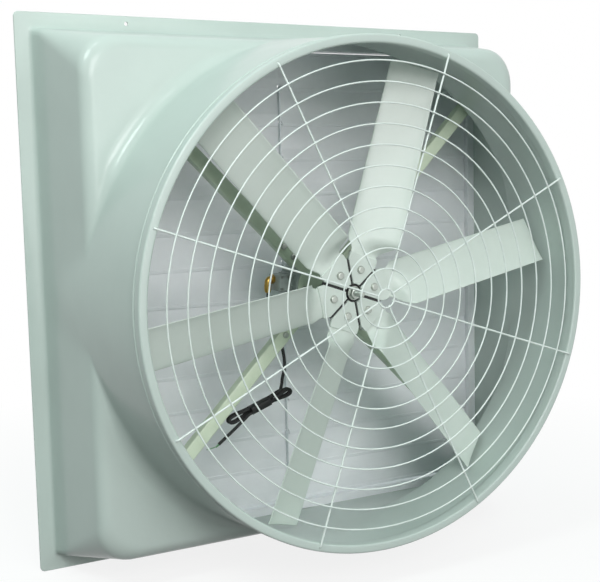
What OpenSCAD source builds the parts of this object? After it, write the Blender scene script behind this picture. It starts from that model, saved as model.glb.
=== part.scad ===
// Square-flanged glass-fibre exhaust fan with a round outlet drum, a wire guard,
// a direct-drive six-blade impeller and a self-closing slat shutter behind it.
//
// The modules below are written in the fan's own frame: x to the right and y up as
// seen from the outlet, z forward along the fan axis from the wall plane. fan_frame()
// then turns that frame so that +Z is up and the outlet faces -Y.

/* [Housing] */
// Width of the wall flange beyond the box
flange_rim = 40; // [30:1:70]
// Thickness of the wall flange
flange_t = 6; // [4:0.5:10]
// Corner radius of the wall flange
flange_r = 12; // [6:1:20]
// Width of the box where it meets the flange
box_base_w = 1380; // [1376:1:1390]
// Width of the box at its front face
box_front_w = 1292; // [1284:1:1300]
// Depth of the box from the wall plane to its front face
box_depth = 280; // [270:1:300]
// Corner radius of the box at the flange
box_base_r = 14; // [10:1:24]
// Corner radius of the box at its front face
box_front_r = 100; // [80:1:120]
// Rounding of the edge around the front face
box_edge_r = 30; // [20:1:36]
// Wall thickness of the moulding
wall_t = 5; // [4:0.5:6]

/* [Outlet drum] */
// Depth of the outlet rim from the wall plane
drum_depth = 572; // [560:1:600]
// Outer radius of the drum at the rim
drum_r = 629; // [625:1:632]
// Draft of the drum wall in degrees, wider towards the wall
drum_draft = 5.7; // [5.4:0.1:6]
// Radius of the fillet between the drum and the front face
drum_fillet = 35; // [25:1:40]
// Depth of the raised band around the rim
rim_band = 35; // [30:1:45]
// Height of the raised band above the drum wall
rim_rise = 7; // [5:0.5:9]
// Radial width of the rim's front lip
lip_w = 22; // [20:0.5:26]

/* [Wall bolts] */
// Distance of the outer wall bolts from the middle of each side
wall_bolt_x = 433; // [380:1:480]
// Diameter of the wall bolt holes
wall_bolt_d = 11; // [9:0.5:13]

/* [Guard] */
// Number of guard rings
guard_rings = 12; // [8:1:12]
// Radius of the innermost ring
guard_first_r = 23; // [20:1:30]
// Radial distance between rings
guard_step = 50; // [46:0.5:50]
// Wire diameter of the rings
ring_wire = 4; // [3:0.5:5]
// Wire diameter of the spokes
spoke_wire = 5; // [4:0.5:6]
// Number of spokes
spokes = 8; // [6:1:10]
// Angle of the first spoke from the horizontal
guard_turn = 26.6; // [0:0.1:45]
// Length of each spoke's bent end in the lip
spoke_leg = 16; // [10:1:20]

/* [Impeller] */
// Radius over the blade tips
fan_r = 618; // [590:1:622]
// Depth of the front of the blade roots from the wall plane
hub_front = 428; // [420:1:436]
// Radius of the blade root plates
root_r = 92; // [88:1:96]
// Thickness of the blade root plates
root_t = 9; // [8:0.5:10]
// Radius of the opening between the blade roots
root_eye_r = 24; // [22:0.5:26]
// Width of the slots between the blade roots
root_gap = 7; // [5:0.5:8]
// Blade chord near the hub
root_chord = 138; // [125:1:150]
// Blade chord at the tip
tip_chord = 130; // [110:1:140]
// Blade pitch near the hub in degrees
root_pitch = 37; // [30:0.5:40]
// Blade pitch at the tip in degrees
tip_pitch = 26; // [20:0.5:30]
// Greatest blade thickness
blade_t = 12; // [10:0.5:14]
// How far the blade stands in front of its root plate
blade_lift = 17; // [12:1:20]
// How far the tip leans back towards the wall
tip_lean = 38; // [25:1:45]
// Angle of the first blade from the horizontal
blade_phase = 10.7; // [0:0.1:30]
// Radius of the blade bolt circle
blade_bolt_pcr = 62; // [58:1:66]
// Diameter of the blade bolts
blade_bolt_d = 10; // [8:1:10]
// Thickness of the hub flange behind the roots
hub_t = 10; // [8:0.5:12]
// Length of the hub boss behind its flange
hub_boss = 38; // [30:1:44]
// Radius of the hub boss
hub_boss_r = 32; // [28:1:36]

/* [Motor] */
// Outer radius of the motor frame
motor_r = 78; // [76:1:82]
// Wall thickness of the motor frame
motor_wall = 12; // [11:0.5:14]
// Length of the motor over its end shields
motor_l = 110; // [106:1:116]
// Thickness of each end shield
shield_t = 12; // [11:0.5:14]
// Diameter of the motor shaft
shaft_d = 25; // [24:1:25]
// Diameter of the threaded end of the shaft
stud_d = 16; // [14:1:18]
// How far the threaded end stands in front of the blade roots
stud_reach = 40; // [34:1:46]
// Outer diameter of the bearings
bearing_d = 52; // [50:1:54]
// Width of the bearings
bearing_w = 15; // [14:1:16]
// Length of the stator and rotor cores
core_l = 56; // [50:1:60]
// Air gap between the stator and the rotor
air_gap = 0.6; // [0.4:0.1:1]
// Number of cooling fins around the motor frame
fins = 32; // [24:4:40]
// Height of the cooling fins
fin_h = 4; // [3:0.5:5]

/* [Terminal box] */
// Height of the terminal box
term_h = 44; // [42:1:50]
// Length of the terminal box along the fan axis
term_l = 64; // [58:1:68]
// How far the box stands off the motor pad
term_d = 30; // [28:1:36]
// Height of the box's lower side above the fan axis
term_low = -5; // [-8:1:0]
// Wall thickness of the box and the lid
term_t = 3; // [2.5:0.5:4]

/* [Support cross] */
// Width of each arm channel
arm_w = 36; // [34:1:40]
// Depth of each arm channel
arm_d = 25; // [22:1:28]
// Sheet thickness of the arms
arm_t = 3; // [2.5:0.5:4]
// Distance from the fan axis to an arm's inner end
arm_in = 104; // [102:1:110]
// Distance from the fan axis to an arm's outer end
arm_out = 800; // [790:1:806]
// Thickness of the centre plate
plate_t = 6; // [5:0.5:8]
// Thickness of the moulded pads under the arm ends
pad_t = 6; // [5:0.5:8]
// Diameter of the bolts in the arms and the motor plate
bolt_d = 8; // [6:1:8]

/* [Shutter] */
// Depth of the shutter frame
frame_d = 46; // [42:1:50]
// Face width of the shutter frame members
frame_w = 24; // [20:1:28]
// Wall thickness of the shutter frame channel
frame_t = 3; // [2.5:0.5:4]
// Thickness of a slat
slat_t = 2; // [1.8:0.1:2.4]
// Radius of the bead along a slat's upper edge
bead_r = 5; // [4.5:0.1:5.4]
// Forward bow of a slat
slat_bow = 4; // [2:0.5:5]
// How far a slat laps over the next one
slat_lap = 6; // [4:0.5:8]
// Diameter of the slat pivot pins
pivot_d = 6; // [5:0.5:6]
// Width of the tie bar
bar_w = 9; // [8:0.5:10]
// Thickness of the tie bar
bar_t = 3; // [2:0.5:3]
// Diameter of the tie bar pins
link_d = 4; // [3:0.5:4]

/* [Cord] */
// Diameter of the motor cord
cord_d = 8.5; // [8:0.1:8.8]
// Half length of the hank along its loops
hank_half = 94; // [90:1:100]
// Extra half width of the loops towards their ends
hank_flare = 14.5; // [14:0.1:16]
// Gap between neighbouring strands of the hank
strand_gap = 0.9; // [0.8:0.1:1.2]

/* [Hidden] */
$fn = 64;
BIG_FN = 180;
RING_FN = 96;
FIT = 0.05;
SEAT = 0.3;
EPS = 1;
BLADES = 6;
SLATS = 13;

// Colours
GELCOAT = "#c6d2ca";
BLADE = "#cfdcd3";
WIRE = "#eef3f0";
ARM = "#b5c9a6";
MOTOR = "#9fb0a6";
STEEL = "#b9bcbd";
DARK = "#2f3432";
PVC = "#e6ebf0";
BRASS = "#b89a4c";
BLACK = "#1d1f20";
COPPER = "#b87746";
GREEN = "#4f8a5c";

// Housing
base_half = box_base_w / 2;
flange_half = base_half + flange_rim;
front_half = box_front_w / 2;
box_slope = (base_half - front_half) / box_depth;
CORNER_STEPS = 6;
EDGE_STEPS = 4;
frame_back = 1;
seat_d = frame_back + frame_d + 3;
seat_half = wall_half(seat_d) - wall_t;
wall_bolt_z = (flange_half + base_half) / 2;
plate_in = box_depth - wall_t;

// Outlet drum
drum_root = 20;
draft_run = tan(drum_draft);
rim_r = drum_r + rim_rise;
lip_r = rim_r - lip_w;
lip_back = drum_depth - rim_band + 5;
LIP_ROUND = 3;
skin = wall_t / cos(drum_draft);
fillet_c = [drum_radius(box_depth + drum_fillet) + drum_fillet, box_depth + drum_fillet];
FILLET_FROM = 180;
FILLET_TO = 262;
FILLET_STEPS = 5;

// Guard
spoke_z = drum_depth + spoke_wire / 2;
ring_z = spoke_z + (spoke_wire + ring_wire) / 2 - 0.5;
socket_r = rim_r - lip_w / 2;

// Impeller and shaft
root_back = hub_front - root_t;
root_mid = hub_front - root_t / 2;
hub_back = root_back - hub_t;
boss_back = hub_back - hub_boss;
shaft_r = shaft_d / 2;
shaft_front = hub_front - 4;
shaft_washer_t = 4;
stud_end = hub_front + stud_reach;
KEY_W = 8;
KEY_H = 7;
KEY_DEPTH = 4;
neck_out = root_r + 8;
neck_half = root_r * sin(180 / BLADES) - root_gap / 2;
neck_in = root_r - 8;
blade_from = root_r - 4;
blade_set = neck_out + 45;
rib_w = root_gap - 2;
rib_h = root_t - 3;
BLADE_STATIONS = [0, 0.03, 0.05, 0.075, 0.1, 0.13, 0.25, 0.45, 0.72, 1];
SECTION = [0, 0.02, 0.08, 0.2, 0.4, 0.6, 0.8, 1];
LEAD_SHARE = 0.44;
ROOT_SKIN = 2.4;
EDGE_T = 1.4;
CAMBER = 0.035;

// Motor
plate_front = plate_in - pad_t - arm_t;
motor_front = plate_front - plate_t;
motor_rear = motor_front - motor_l;
frame_front = motor_front - shield_t;
frame_rear = motor_rear + shield_t;
stator_r = motor_r - motor_wall;
rotor_r = stator_r * 0.62;
core_mid = (frame_front + frame_rear) / 2;
bearing_r = bearing_d / 2;
BEARING_SINK = 5;
tie_r = motor_r - motor_wall / 2;
TIE_D = 6;
FIN_T = 2.5;
mount_r = motor_r - 22;
term_pad = motor_r + fin_h;
term_rear = motor_rear + 20;
term_front = term_rear + term_l;
term_left = -term_pad - term_d;
term_at = [-term_pad - term_d / 2, term_low + term_h / 2];
GLAND_R = 11;
GLAND_HEX = 8;
GLAND_DROP = 36;
gland_x = term_left - GLAND_HEX - 10;
gland_y = term_low + 31;
gland_z = term_rear + 26;

// Support cross
arm_inner_w = arm_w - 2 * arm_t;
arm_back = plate_front + arm_t - arm_d;
ear_w = arm_inner_w - 2;
ear_out = arm_in + 82;
ear_bolts = [arm_in + 22, arm_in + 62];
pad_bolts = [arm_out - 62, arm_out - 22];
pad_from = arm_out - 84;
HEAD_H = 0.65;
HEAD_W = 1.7;
NUT_H = 0.8;

// Shutter
frame_half = seat_half - SEAT;
open_half = frame_half - frame_w;
frame_front_z = frame_back + frame_d;
FRAME_SCREW_R = 2.5;
FRAME_SCREW_IN = 4;
FRAME_HEAD_R = 4.5;
FRAME_HEAD_H = 2.5;
pivot_r = pivot_d / 2;
pivot_z = frame_back + 0.46 * frame_d;
head_room = bead_r + 4;
slat_pitch = (2 * open_half - head_room - slat_lap - 4) / SLATS;
slat_half = open_half - 1.2;
web_top = 3.5;
web_low = bead_r + slat_t / 2 + 1.1;
link_r = link_d / 2;
link_drop = slat_pitch - 2;
link_out = web_low + bar_w / 2 + 5.5;
NOTCH_HALF = 6;
HEM_W = 9;
HEM_T = slat_t / 2 + 1.6;
LUG_T = 3;

// Cord: the route's own points, from the gland down to the hank
cord_r = cord_d / 2;
LEAD_DROP = [[0, -22, 0], [1, -45, 2], [4, -68, 6], [9, -91, 12], [15, -114, 20], [20, -137, 29],
    [22, -160, 38], [21, -183, 46], [16, -205, 52], [8, -226, 56], [5, -240, 57.5]];
HANK_AT = [-197.5, -299, plate_in - 21];
HANK_TILT = 19.6;
strand = cord_d + strand_gap;
hank_waist = strand / 2;
HANK_BLUNT = 0.7;
TIE_HALF = 30;
TIE_T = 1.5;
tie_across = hank_waist + hank_flare * pow(TIE_HALF / hank_half, 2 / HANK_BLUNT) + cord_r + FIT;
tie_deep = strand + cord_r + FIT;
HANK_FROM = 60;
HANK_TO = 835;
HANK_STEP = 12.5;
HANK_OUT = 14;
CORE_D = 2.6;
TAIL_BEND = [-283, -356, plate_in - 4];
TAIL_END = [-321, -385, plate_in - 6];

// Half width of the box and its corner radius at a depth z
function wall_half(z) = base_half - box_slope * z;
function wall_round(z) =
    box_base_r + (box_front_r - box_base_r) * max(z - seat_d, 0) / (box_depth - seat_d);

// Outer radius of the drum at a depth z
function drum_radius(z) = drum_r + (drum_depth - z) * draft_run;

function smooth(t) = let(u = min(max(t, 0), 1)) u * u * (3 - 2 * u);

// Ring of points around a rounded square
function square_ring(half, r, z) = [for (c = [0:3], i = [0:CORNER_STEPS])
    let(a = 90 * c + 90 * i / CORNER_STEPS, sx = (c == 0 || c == 3) ? 1 : -1, sy = c < 2 ? 1 : -1)
    [sx * (half - r) + r * cos(a), sy * (half - r) + r * sin(a), z]];

// Rings from a straight wall over a rounded edge to a flat front
function edge_rings(half, r, edge, front) = [for (i = [0:EDGE_STEPS])
    let(a = 90 * i / EDGE_STEPS, back = edge * (1 - cos(a)))
    square_ring(half - back, r - back, front - edge + edge * sin(a))];

// Point and unit vector helpers
function unit(v) = v / norm(v);
function heading(p, i) = unit(p[min(i + 1, len(p) - 1)] - p[max(i - 1, 0)]);

module fan_frame() rotate([90, 0, 0]) children();

// Skin of triangles over rings that run up and turn anticlockwise, with flat ends
module loft(rings) {
    n = len(rings[0]);
    last = len(rings) - 1;
    polyhedron([for (ring = rings) each ring], concat(
        [[for (i = [0:n - 1]) i]],
        [[for (i = [n - 1:-1:0]) last * n + i]],
        [for (k = [0:last - 1], i = [0:n - 1])
            let(a = k * n, b = a + n, j = (i + 1) % n)
            each [[a + i, b + i, b + j], [a + i, b + j, a + j]]]));
}

// Round tube along a list of points, kept upright on the fan axis
module tube(points, d, sides) {
    loft([for (i = [0:len(points) - 1])
        let(t = heading(points, i), s = unit(cross([0, 0, 1], t)), u = cross(t, s))
        [for (j = [0:sides - 1]) let(a = 360 * j / sides) points[i] + d / 2 * (s * cos(a) + u * sin(a))]]);
}

// Rectangle of half sizes a and b with rounded corners
module rounded_rect(a, b, r) {
    square([2 * a, 2 * (b - r)], center = true);
    square([2 * (a - r), 2 * b], center = true);
    for (sx = [-1, 1], sy = [-1, 1]) translate([sx * (a - r), sy * (b - r)]) circle(r);
}

module square_frame(outer, inner, r, z0, z1) translate([0, 0, z0]) linear_extrude(z1 - z0) difference() {
    rounded_rect(outer, outer, r);
    square(2 * inner, center = true);
}

module bar_z(r, z0, z1) translate([0, 0, z0]) cylinder(r = r, h = z1 - z0);

module washer_z(ro, ri, z0, z1, fn = 96) translate([0, 0, z0]) linear_extrude(z1 - z0) difference() {
    circle(ro, $fn = fn);
    circle(ri, $fn = fn);
}

// Hexagon across flats, running from z0 to z1
module hex_z(flats, z0, z1) translate([0, 0, z0]) cylinder(d = flats / cos(30), h = z1 - z0, $fn = 6);

// Hexagon bolt: the head seats at z = 0 and stands towards +z, the shank runs back
module hex_bolt(d, reach) {
    hex_z(HEAD_W * d, 0, HEAD_H * d);
    bar_z(d / 2 - FIT, -reach, 0.5);
}

module hex_nut(d, z0) difference() {
    hex_z(HEAD_W * d, z0, z0 + NUT_H * d);
    bar_z(d / 2 + FIT, z0 - EPS, z0 + d);
}

// Housing

module box_outside() {
    z = box_depth - box_edge_r;
    loft(concat([for (z = [0, seat_d]) square_ring(wall_half(z), box_base_r, z)],
        edge_rings(wall_half(z), wall_round(z), box_edge_r, box_depth)));
}

module box_inside() {
    edge = box_edge_r - wall_t;
    z = plate_in - edge;
    seat_r = box_base_r - wall_t;
    loft(concat([square_ring(seat_half, seat_r, -EPS), square_ring(seat_half, seat_r, seat_d)],
        edge_rings(wall_half(z) - wall_t, wall_round(z) - wall_t, edge, plate_in)));
}

// Turned outside of the drum, with the raised band at its rim
module drum_outside() rotate_extrude($fn = BIG_FN) polygon([
    [0, drum_root], [drum_radius(drum_root), drum_root],
    [drum_radius(drum_depth - rim_band), drum_depth - rim_band], [rim_r, drum_depth - rim_band],
    [rim_r, drum_depth - LIP_ROUND], [rim_r - LIP_ROUND, drum_depth], [0, drum_depth]]);

// Turned inside of the drum, stopped short by the thick lip
module drum_inside() rotate_extrude($fn = BIG_FN) polygon([
    [0, drum_root], [drum_radius(drum_root) - skin, drum_root],
    [drum_radius(lip_back - lip_w) - skin, lip_back - lip_w], [lip_r, lip_back],
    [lip_r, drum_depth - LIP_ROUND], [lip_r + LIP_ROUND, drum_depth + EPS], [0, drum_depth + EPS]]);

// Ring under the fillet curve of radius r, cut off where the box's sides run past the drum
module root_fillet(r, floor_z, limit) intersection() {
    rotate_extrude($fn = BIG_FN) polygon(concat(
        [for (i = [0:FILLET_STEPS]) let(a = FILLET_FROM + (FILLET_TO - FILLET_FROM) * i / FILLET_STEPS)
            fillet_c + r * [cos(a), sin(a)]],
        [[fillet_c[0] + r * cos(FILLET_TO), floor_z], [fillet_c[0] - drum_fillet - 3 * wall_t, floor_z],
            [fillet_c[0] - drum_fillet - 3 * wall_t, fillet_c[1]]]));
    translate([0, 0, box_depth]) cube([2 * limit, 2 * limit, 4 * drum_fillet], center = true);
}

module arm_pad() translate([0, -arm_w / 2 - 4, plate_in - pad_t])
    cube([arm_out - pad_from + 4, arm_w + 8, pad_t + EPS]);

module housing() color(GELCOAT) fan_frame() difference() {
    union() {
        difference() {
            union() {
                linear_extrude(flange_t) rounded_rect(flange_half, flange_half, flange_r);
                box_outside();
                drum_outside();
                root_fillet(drum_fillet, box_depth - wall_t / 2, front_half - box_edge_r / 2);
            }
            box_inside();
            drum_inside();
            root_fillet(drum_fillet + wall_t, plate_in - wall_t, front_half - wall_t - box_edge_r / 2);
        }
        at_arms([pad_from]) arm_pad();
    }
    for (sx = [-1, 1], sz = [-1, 1]) translate([sx * wall_bolt_x, sz * wall_bolt_z])
        bar_z(wall_bolt_d / 2, -EPS, flange_t + EPS);
    for (k = [0:spokes - 1]) rotate(guard_turn + 360 * k / spokes) translate([socket_r, 0])
        bar_z(spoke_wire / 2 + SEAT / 2, drum_depth - spoke_leg - EPS, drum_depth + EPS);
    at_arms(pad_bolts) bar_z(bolt_d / 2, plate_in - pad_t - EPS, box_depth - 2);
    at_frame_screws() bar_z(FRAME_SCREW_R + FIT, 0, SEAT + FRAME_SCREW_IN + EPS / 2);
}

// Guard

module spoke() {
    rotate([0, 90, 0]) bar_z(spoke_wire / 2, guard_first_r - ring_wire / 2, socket_r);
    translate([socket_r, 0]) sphere(spoke_wire / 2);
    translate([socket_r, 0]) bar_z(spoke_wire / 2, -spoke_leg - spoke_wire / 2, 0);
}

module guard() color(WIRE) fan_frame() {
    for (k = [0:guard_rings - 1]) translate([0, 0, ring_z]) rotate_extrude($fn = BIG_FN)
        translate([guard_first_r + guard_step * k, 0]) circle(ring_wire / 2, $fn = 8);
    for (k = [0:spokes - 1]) rotate(guard_turn + 360 * k / spokes) translate([0, 0, spoke_z]) spoke();
}

// Impeller

// Blade section at a share s of the span: chord, pitch, thickness and place change along it
function blade_ring(s) =
    let(r = blade_from + (fan_r - blade_from) * s,
        set = smooth((r - neck_out - 4) / (blade_set - neck_out)),
        start_chord = 2 * neck_half - root_gap,
        lead = 0.5 + set * (LEAD_SHARE - 0.5),
        chord = start_chord + set * (root_chord + (tip_chord - root_chord) * s - start_chord),
        pitch = set * (root_pitch + (tip_pitch - root_pitch) * s),
        thick = (root_t - ROOT_SKIN) + set * (blade_t - root_t + ROOT_SKIN) * (1 - 0.35 * s),
        bend = set * CAMBER * chord,
        z = root_mid + set * blade_lift - tip_lean * s,
        last = len(SECTION) - 1)
    [for (i = [0:2 * last]) let(x = SECTION[i <= last ? last - i : i - last],
        side = i <= last ? -1 : 1,
        tail = -0.63 * x - 1.758 * x * x + 1.4215 * pow(x, 3) - 0.518 * pow(x, 4),
        round_t = thick * (1.4845 * sqrt(x) + tail),
        n = side * max(round_t, EDGE_T * min(1, 20 * x)) - 4 * bend * x * (1 - x),
        c = chord * (lead - x))
        [r, c * cos(pitch) + n * sin(pitch), z - c * sin(pitch) + n * cos(pitch)]];

module blade_root() translate([0, 0, root_back]) linear_extrude(root_t) difference() {
    union() {
        intersection() {
            circle(root_r, $fn = RING_FN);
            polygon([[root_gap, 0], [root_gap + 2 * root_r, 2 * root_r * tan(180 / BLADES)],
                [root_gap + 2 * root_r, -2 * root_r * tan(180 / BLADES)]]);
        }
        translate([neck_in, -neck_half]) square([neck_out - neck_in, 2 * neck_half]);
    }
    circle(root_eye_r);
    translate([blade_bolt_pcr, 0]) circle(blade_bolt_d / 2 + FIT);
}

module blade(k) color(BLADE) fan_frame() rotate(blade_phase + 360 * (k - 1) / BLADES) {
    blade_root();
    loft([for (s = BLADE_STATIONS) blade_ring(s)]);
}

module blade_1() blade(1);
module blade_2() blade(2);
module blade_3() blade(3);
module blade_4() blade(4);
module blade_5() blade(5);
module blade_6() blade(6);

module at_blade_bolts() for (k = [0:BLADES - 1]) rotate(blade_phase + 360 * k / BLADES)
    translate([blade_bolt_pcr, 0]) children();

module hub() color(DARK) fan_frame() difference() {
    union() {
        bar_z(root_r - 4, hub_back, root_back);
        bar_z(hub_boss_r, boss_back, hub_back + EPS);
        for (k = [0:BLADES - 1]) rotate(blade_phase + 360 * (k + 0.5) / BLADES)
            translate([root_eye_r + 6, -rib_w / 2, root_back - EPS])
            cube([root_r - root_eye_r - 12, rib_w, rib_h + EPS]);
    }
    bar_z(shaft_r + FIT / 2, boss_back - EPS, root_back + EPS);
    translate([0, shaft_r + KEY_H / 2 - KEY_DEPTH, (boss_back + root_back) / 2])
        cube([KEY_W + FIT, KEY_H + FIT, root_back - boss_back + 2 * EPS], center = true);
    at_blade_bolts() bar_z(blade_bolt_d / 2 + FIT, hub_back - EPS, root_back + EPS);
}

module hub_key() color(STEEL) fan_frame() translate([-KEY_W / 2, shaft_r - KEY_DEPTH, boss_back])
    cube([KEY_W, KEY_H, root_back - boss_back]);

module blade_bolts() color(STEEL) fan_frame() at_blade_bolts() translate([0, 0, hub_front])
    hex_bolt(blade_bolt_d, root_t + hub_t + 1.1 * blade_bolt_d);

module blade_nuts() color(STEEL) fan_frame() at_blade_bolts()
    hex_nut(blade_bolt_d, hub_back - NUT_H * blade_bolt_d);

module motor_shaft() color(STEEL) fan_frame() difference() {
    union() {
        bar_z(shaft_r, frame_rear - BEARING_SINK + EPS / 2, shaft_front);
        bar_z(stud_d / 2, shaft_front - EPS, stud_end);
    }
    translate([-KEY_W / 2, shaft_r - KEY_DEPTH, boss_back]) cube([KEY_W, KEY_H, root_back - boss_back]);
}

module shaft_washer() color(STEEL) fan_frame()
    washer_z(root_eye_r - 6, stud_d / 2 + FIT, shaft_front, shaft_front + shaft_washer_t);

module shaft_nut() color(STEEL) fan_frame() hex_nut(stud_d, shaft_front + shaft_washer_t);

module rotor_core() color(COPPER) fan_frame()
    washer_z(rotor_r, shaft_r + FIT / 2, core_mid - core_l / 2, core_mid + core_l / 2);

// Motor

module at_ties() for (k = [0:3]) rotate(22.5 + 90 * k) translate([tie_r, 0]) children();

module at_mounts() for (k = [0:3]) rotate(90 * k) translate([mount_r, 0]) children();

module motor_frame() color(MOTOR) fan_frame() difference() {
    union() {
        washer_z(motor_r, stator_r, frame_rear, frame_front, RING_FN);
        for (k = [0:fins - 1]) rotate(360 * (k + 0.5) / fins)
            translate([motor_r - EPS, -FIN_T / 2, frame_rear + 4])
            cube([fin_h + EPS, FIN_T, frame_front - frame_rear - 8]);
        translate([-term_pad, term_low - 2, term_rear - 2])
            cube([term_pad - stator_r + 6, term_h + 4, term_l + 4]);
    }
    bar_z(stator_r, frame_rear - EPS, frame_front + EPS, $fn = RING_FN);
    at_ties() bar_z(TIE_D / 2 + FIT, frame_rear - EPS, frame_front + EPS);
}

// End shield seen from its inner face: a disc with a bearing seat in a raised boss
module end_shield() difference() {
    union() {
        bar_z(motor_r, 0, shield_t, $fn = RING_FN);
        bar_z(stator_r - FIT, shield_t - EPS, shield_t + 3, $fn = RING_FN);
        bar_z(bearing_r + 6, shield_t, shield_t + bearing_w - BEARING_SINK);
    }
    bar_z(bearing_r + FIT / 2, shield_t - BEARING_SINK, shield_t + bearing_w + EPS);
}

module front_end_shield() color(MOTOR) fan_frame() difference() {
    translate([0, 0, motor_front]) mirror([0, 0, 1]) end_shield();
    bar_z(shaft_r + 1, frame_front, motor_front + EPS);
    at_mounts() bar_z(bolt_d / 2, motor_front - shield_t + 2, motor_front + EPS);
    at_ties() bar_z(TIE_D / 2, frame_front - EPS, frame_front + shield_t - 2);
}

module rear_end_shield() color(MOTOR) fan_frame() difference() {
    translate([0, 0, motor_rear]) end_shield();
    at_ties() bar_z(TIE_D / 2 + FIT, motor_rear - EPS, frame_rear + 4);
}

module bearing(z) washer_z(bearing_r, shaft_r + FIT, z, z + bearing_w);

module front_bearing() color(STEEL) fan_frame() bearing(frame_front + BEARING_SINK - bearing_w);

module rear_bearing() color(STEEL) fan_frame() bearing(frame_rear - BEARING_SINK);

module stator_core() color(DARK) fan_frame()
    washer_z(stator_r, rotor_r + air_gap, core_mid - core_l / 2, core_mid + core_l / 2, RING_FN);

module stator_windings() color(COPPER) fan_frame() for (side = [-1, 1]) {
    r = (stator_r + rotor_r) / 2;
    reach = 7;
    translate([0, 0, core_mid + side * (core_l / 2 + reach / 2)]) rotate_extrude($fn = RING_FN)
        translate([r, 0]) square([stator_r - rotor_r - 8, reach], center = true);
}

module motor_tie_bolts() color(STEEL) fan_frame() at_ties() translate([0, 0, motor_rear]) mirror([0, 0, 1])
    hex_bolt(TIE_D, frame_front - motor_rear + shield_t - 3);

module motor_mount_bolts() color(STEEL) fan_frame() at_mounts() translate([0, 0, plate_front])
    hex_bolt(bolt_d, plate_t + shield_t - 3);

module term_block_at(z0, z1, inset) translate([term_left + inset, term_low + inset, term_rear + z0])
    cube([term_d - 2 * inset, term_h - 2 * inset, z1 - z0]);

module at_lid_screws() for (sx = [-1, 1], sy = [-1, 1])
    translate([term_at[0] + sx * (term_d / 2 - 6), term_at[1] + sy * (term_h / 2 - 6), term_front])
    children();

// Places the gland's pieces on the box's outer wall, standing away from the motor
module at_gland() translate([term_left, gland_y, gland_z]) rotate([0, -90, 0]) children();

module terminal_box() color(MOTOR) fan_frame() difference() {
    union() {
        difference() {
            term_block_at(0, term_l - term_t, 0);
            term_block_at(term_t, term_l, term_t);
        }
        at_lid_screws() bar_z(4.5, term_t - term_l, -term_t);
    }
    at_lid_screws() bar_z(2, -18, EPS);
    at_gland() bar_z(GLAND_R - 3 + FIT, -term_t - EPS, EPS);
}

module terminal_lid() color(MOTOR) fan_frame() difference() {
    term_block_at(term_l - term_t, term_l, 0);
    at_lid_screws() bar_z(2.2, -term_t - EPS, EPS);
}

module lid_screws() color(STEEL) fan_frame() at_lid_screws() {
    bar_z(3.6, 0, 2.2);
    bar_z(2 - FIT, -14, 0.5);
}

module terminal_block() color(BLACK) fan_frame() translate([term_at[0], term_at[1] - 5, term_rear + term_t]) {
    translate([-4, -12, 0]) cube([8, 24, 12]);
    for (k = [-1:1]) translate([0, 8 * k, 0]) bar_z(2.5, 11, 15);
}

// Elbow gland: stem and hexagon on the box wall, a ball bend and a domed nut with the cord's bore
module cable_gland() color(BRASS) fan_frame() difference() {
    union() {
        at_gland() {
            bar_z(GLAND_R - 3, -term_t, EPS);
            hex_z(2 * GLAND_R, 0, GLAND_HEX);
            bar_z(GLAND_R - 1.5, GLAND_HEX - EPS, GLAND_HEX + 10);
        }
        translate([gland_x, gland_y, gland_z]) {
            sphere(GLAND_R - 1.5);
            rotate([90, 0, 0]) rotate_extrude() polygon([[0, 0], [GLAND_R - 1.5, 0],
                [GLAND_R - 1.5, GLAND_DROP - 8], [cord_r + 2, GLAND_DROP], [0, GLAND_DROP]]);
        }
    }
    at_gland() bar_z(cord_r, -term_t - 3, GLAND_HEX + 4);
    translate([gland_x, gland_y, gland_z]) rotate([90, 0, 0]) bar_z(cord_r, 10, GLAND_DROP + EPS);
}

// Support cross

module centre_plate() color(ARM) fan_frame() difference() {
    union() {
        bar_z(motor_r - 4, motor_front, plate_front, $fn = RING_FN);
        at_arms([0]) translate([0, -ear_w / 2, motor_front]) cube([ear_out, ear_w, plate_t]);
    }
    bar_z(shaft_r + 8, motor_front - EPS, plate_front + EPS);
    at_mounts() bar_z(bolt_d / 2 + FIT, motor_front - EPS, plate_front + EPS);
    at_arms(ear_bolts) bar_z(bolt_d / 2 + FIT, motor_front - EPS, plate_front + EPS);
}

// Arm: sheet channel, open towards the wall, with its outer corners cut off
module arm(a) color(ARM) fan_frame() rotate(a) difference() {
    translate([arm_in, -arm_w / 2, arm_back]) cube([arm_out - arm_in, arm_w, arm_d]);
    translate([arm_in - EPS, -arm_inner_w / 2, arm_back - EPS])
        cube([arm_out - arm_in + 2 * EPS, arm_inner_w, arm_d - arm_t + EPS]);
    for (r = concat(ear_bolts, pad_bolts)) translate([r, 0])
        bar_z(bolt_d / 2 + FIT, plate_front - EPS, plate_front + arm_t + EPS);
    for (side = [-1, 1]) translate([arm_out, side * arm_w / 2]) rotate(45)
        cube([12, 12, 4 * plate_in], center = true);
}

module arm_upper_right() arm(45);
module arm_upper_left() arm(135);
module arm_lower_left() arm(225);
module arm_lower_right() arm(315);

module at_arms(radii) for (k = [0:3], r = radii) rotate(45 + 90 * k) translate([r, 0]) children();

module arm_inner_bolts() color(STEEL) fan_frame() at_arms(ear_bolts) {
    translate([0, 0, plate_front + arm_t]) hex_bolt(bolt_d, arm_t + plate_t + bolt_d);
    hex_nut(bolt_d, motor_front - NUT_H * bolt_d);
}

module arm_outer_bolts() color(STEEL) fan_frame() at_arms(pad_bolts) translate([0, 0, plate_front])
    mirror([0, 0, 1]) hex_bolt(bolt_d, arm_t + pad_t + wall_t - 3);

// Shutter

function slat_y(k) = open_half - head_room - slat_pitch * (k - 1);

// Forward offset of a slat's middle surface at a drop u below its pivot
function web_out(u) = let(s = u / (slat_pitch + slat_lap))
    web_top + (web_low - web_top) * u / slat_pitch + 4 * slat_bow * s * (1 - s);

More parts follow.
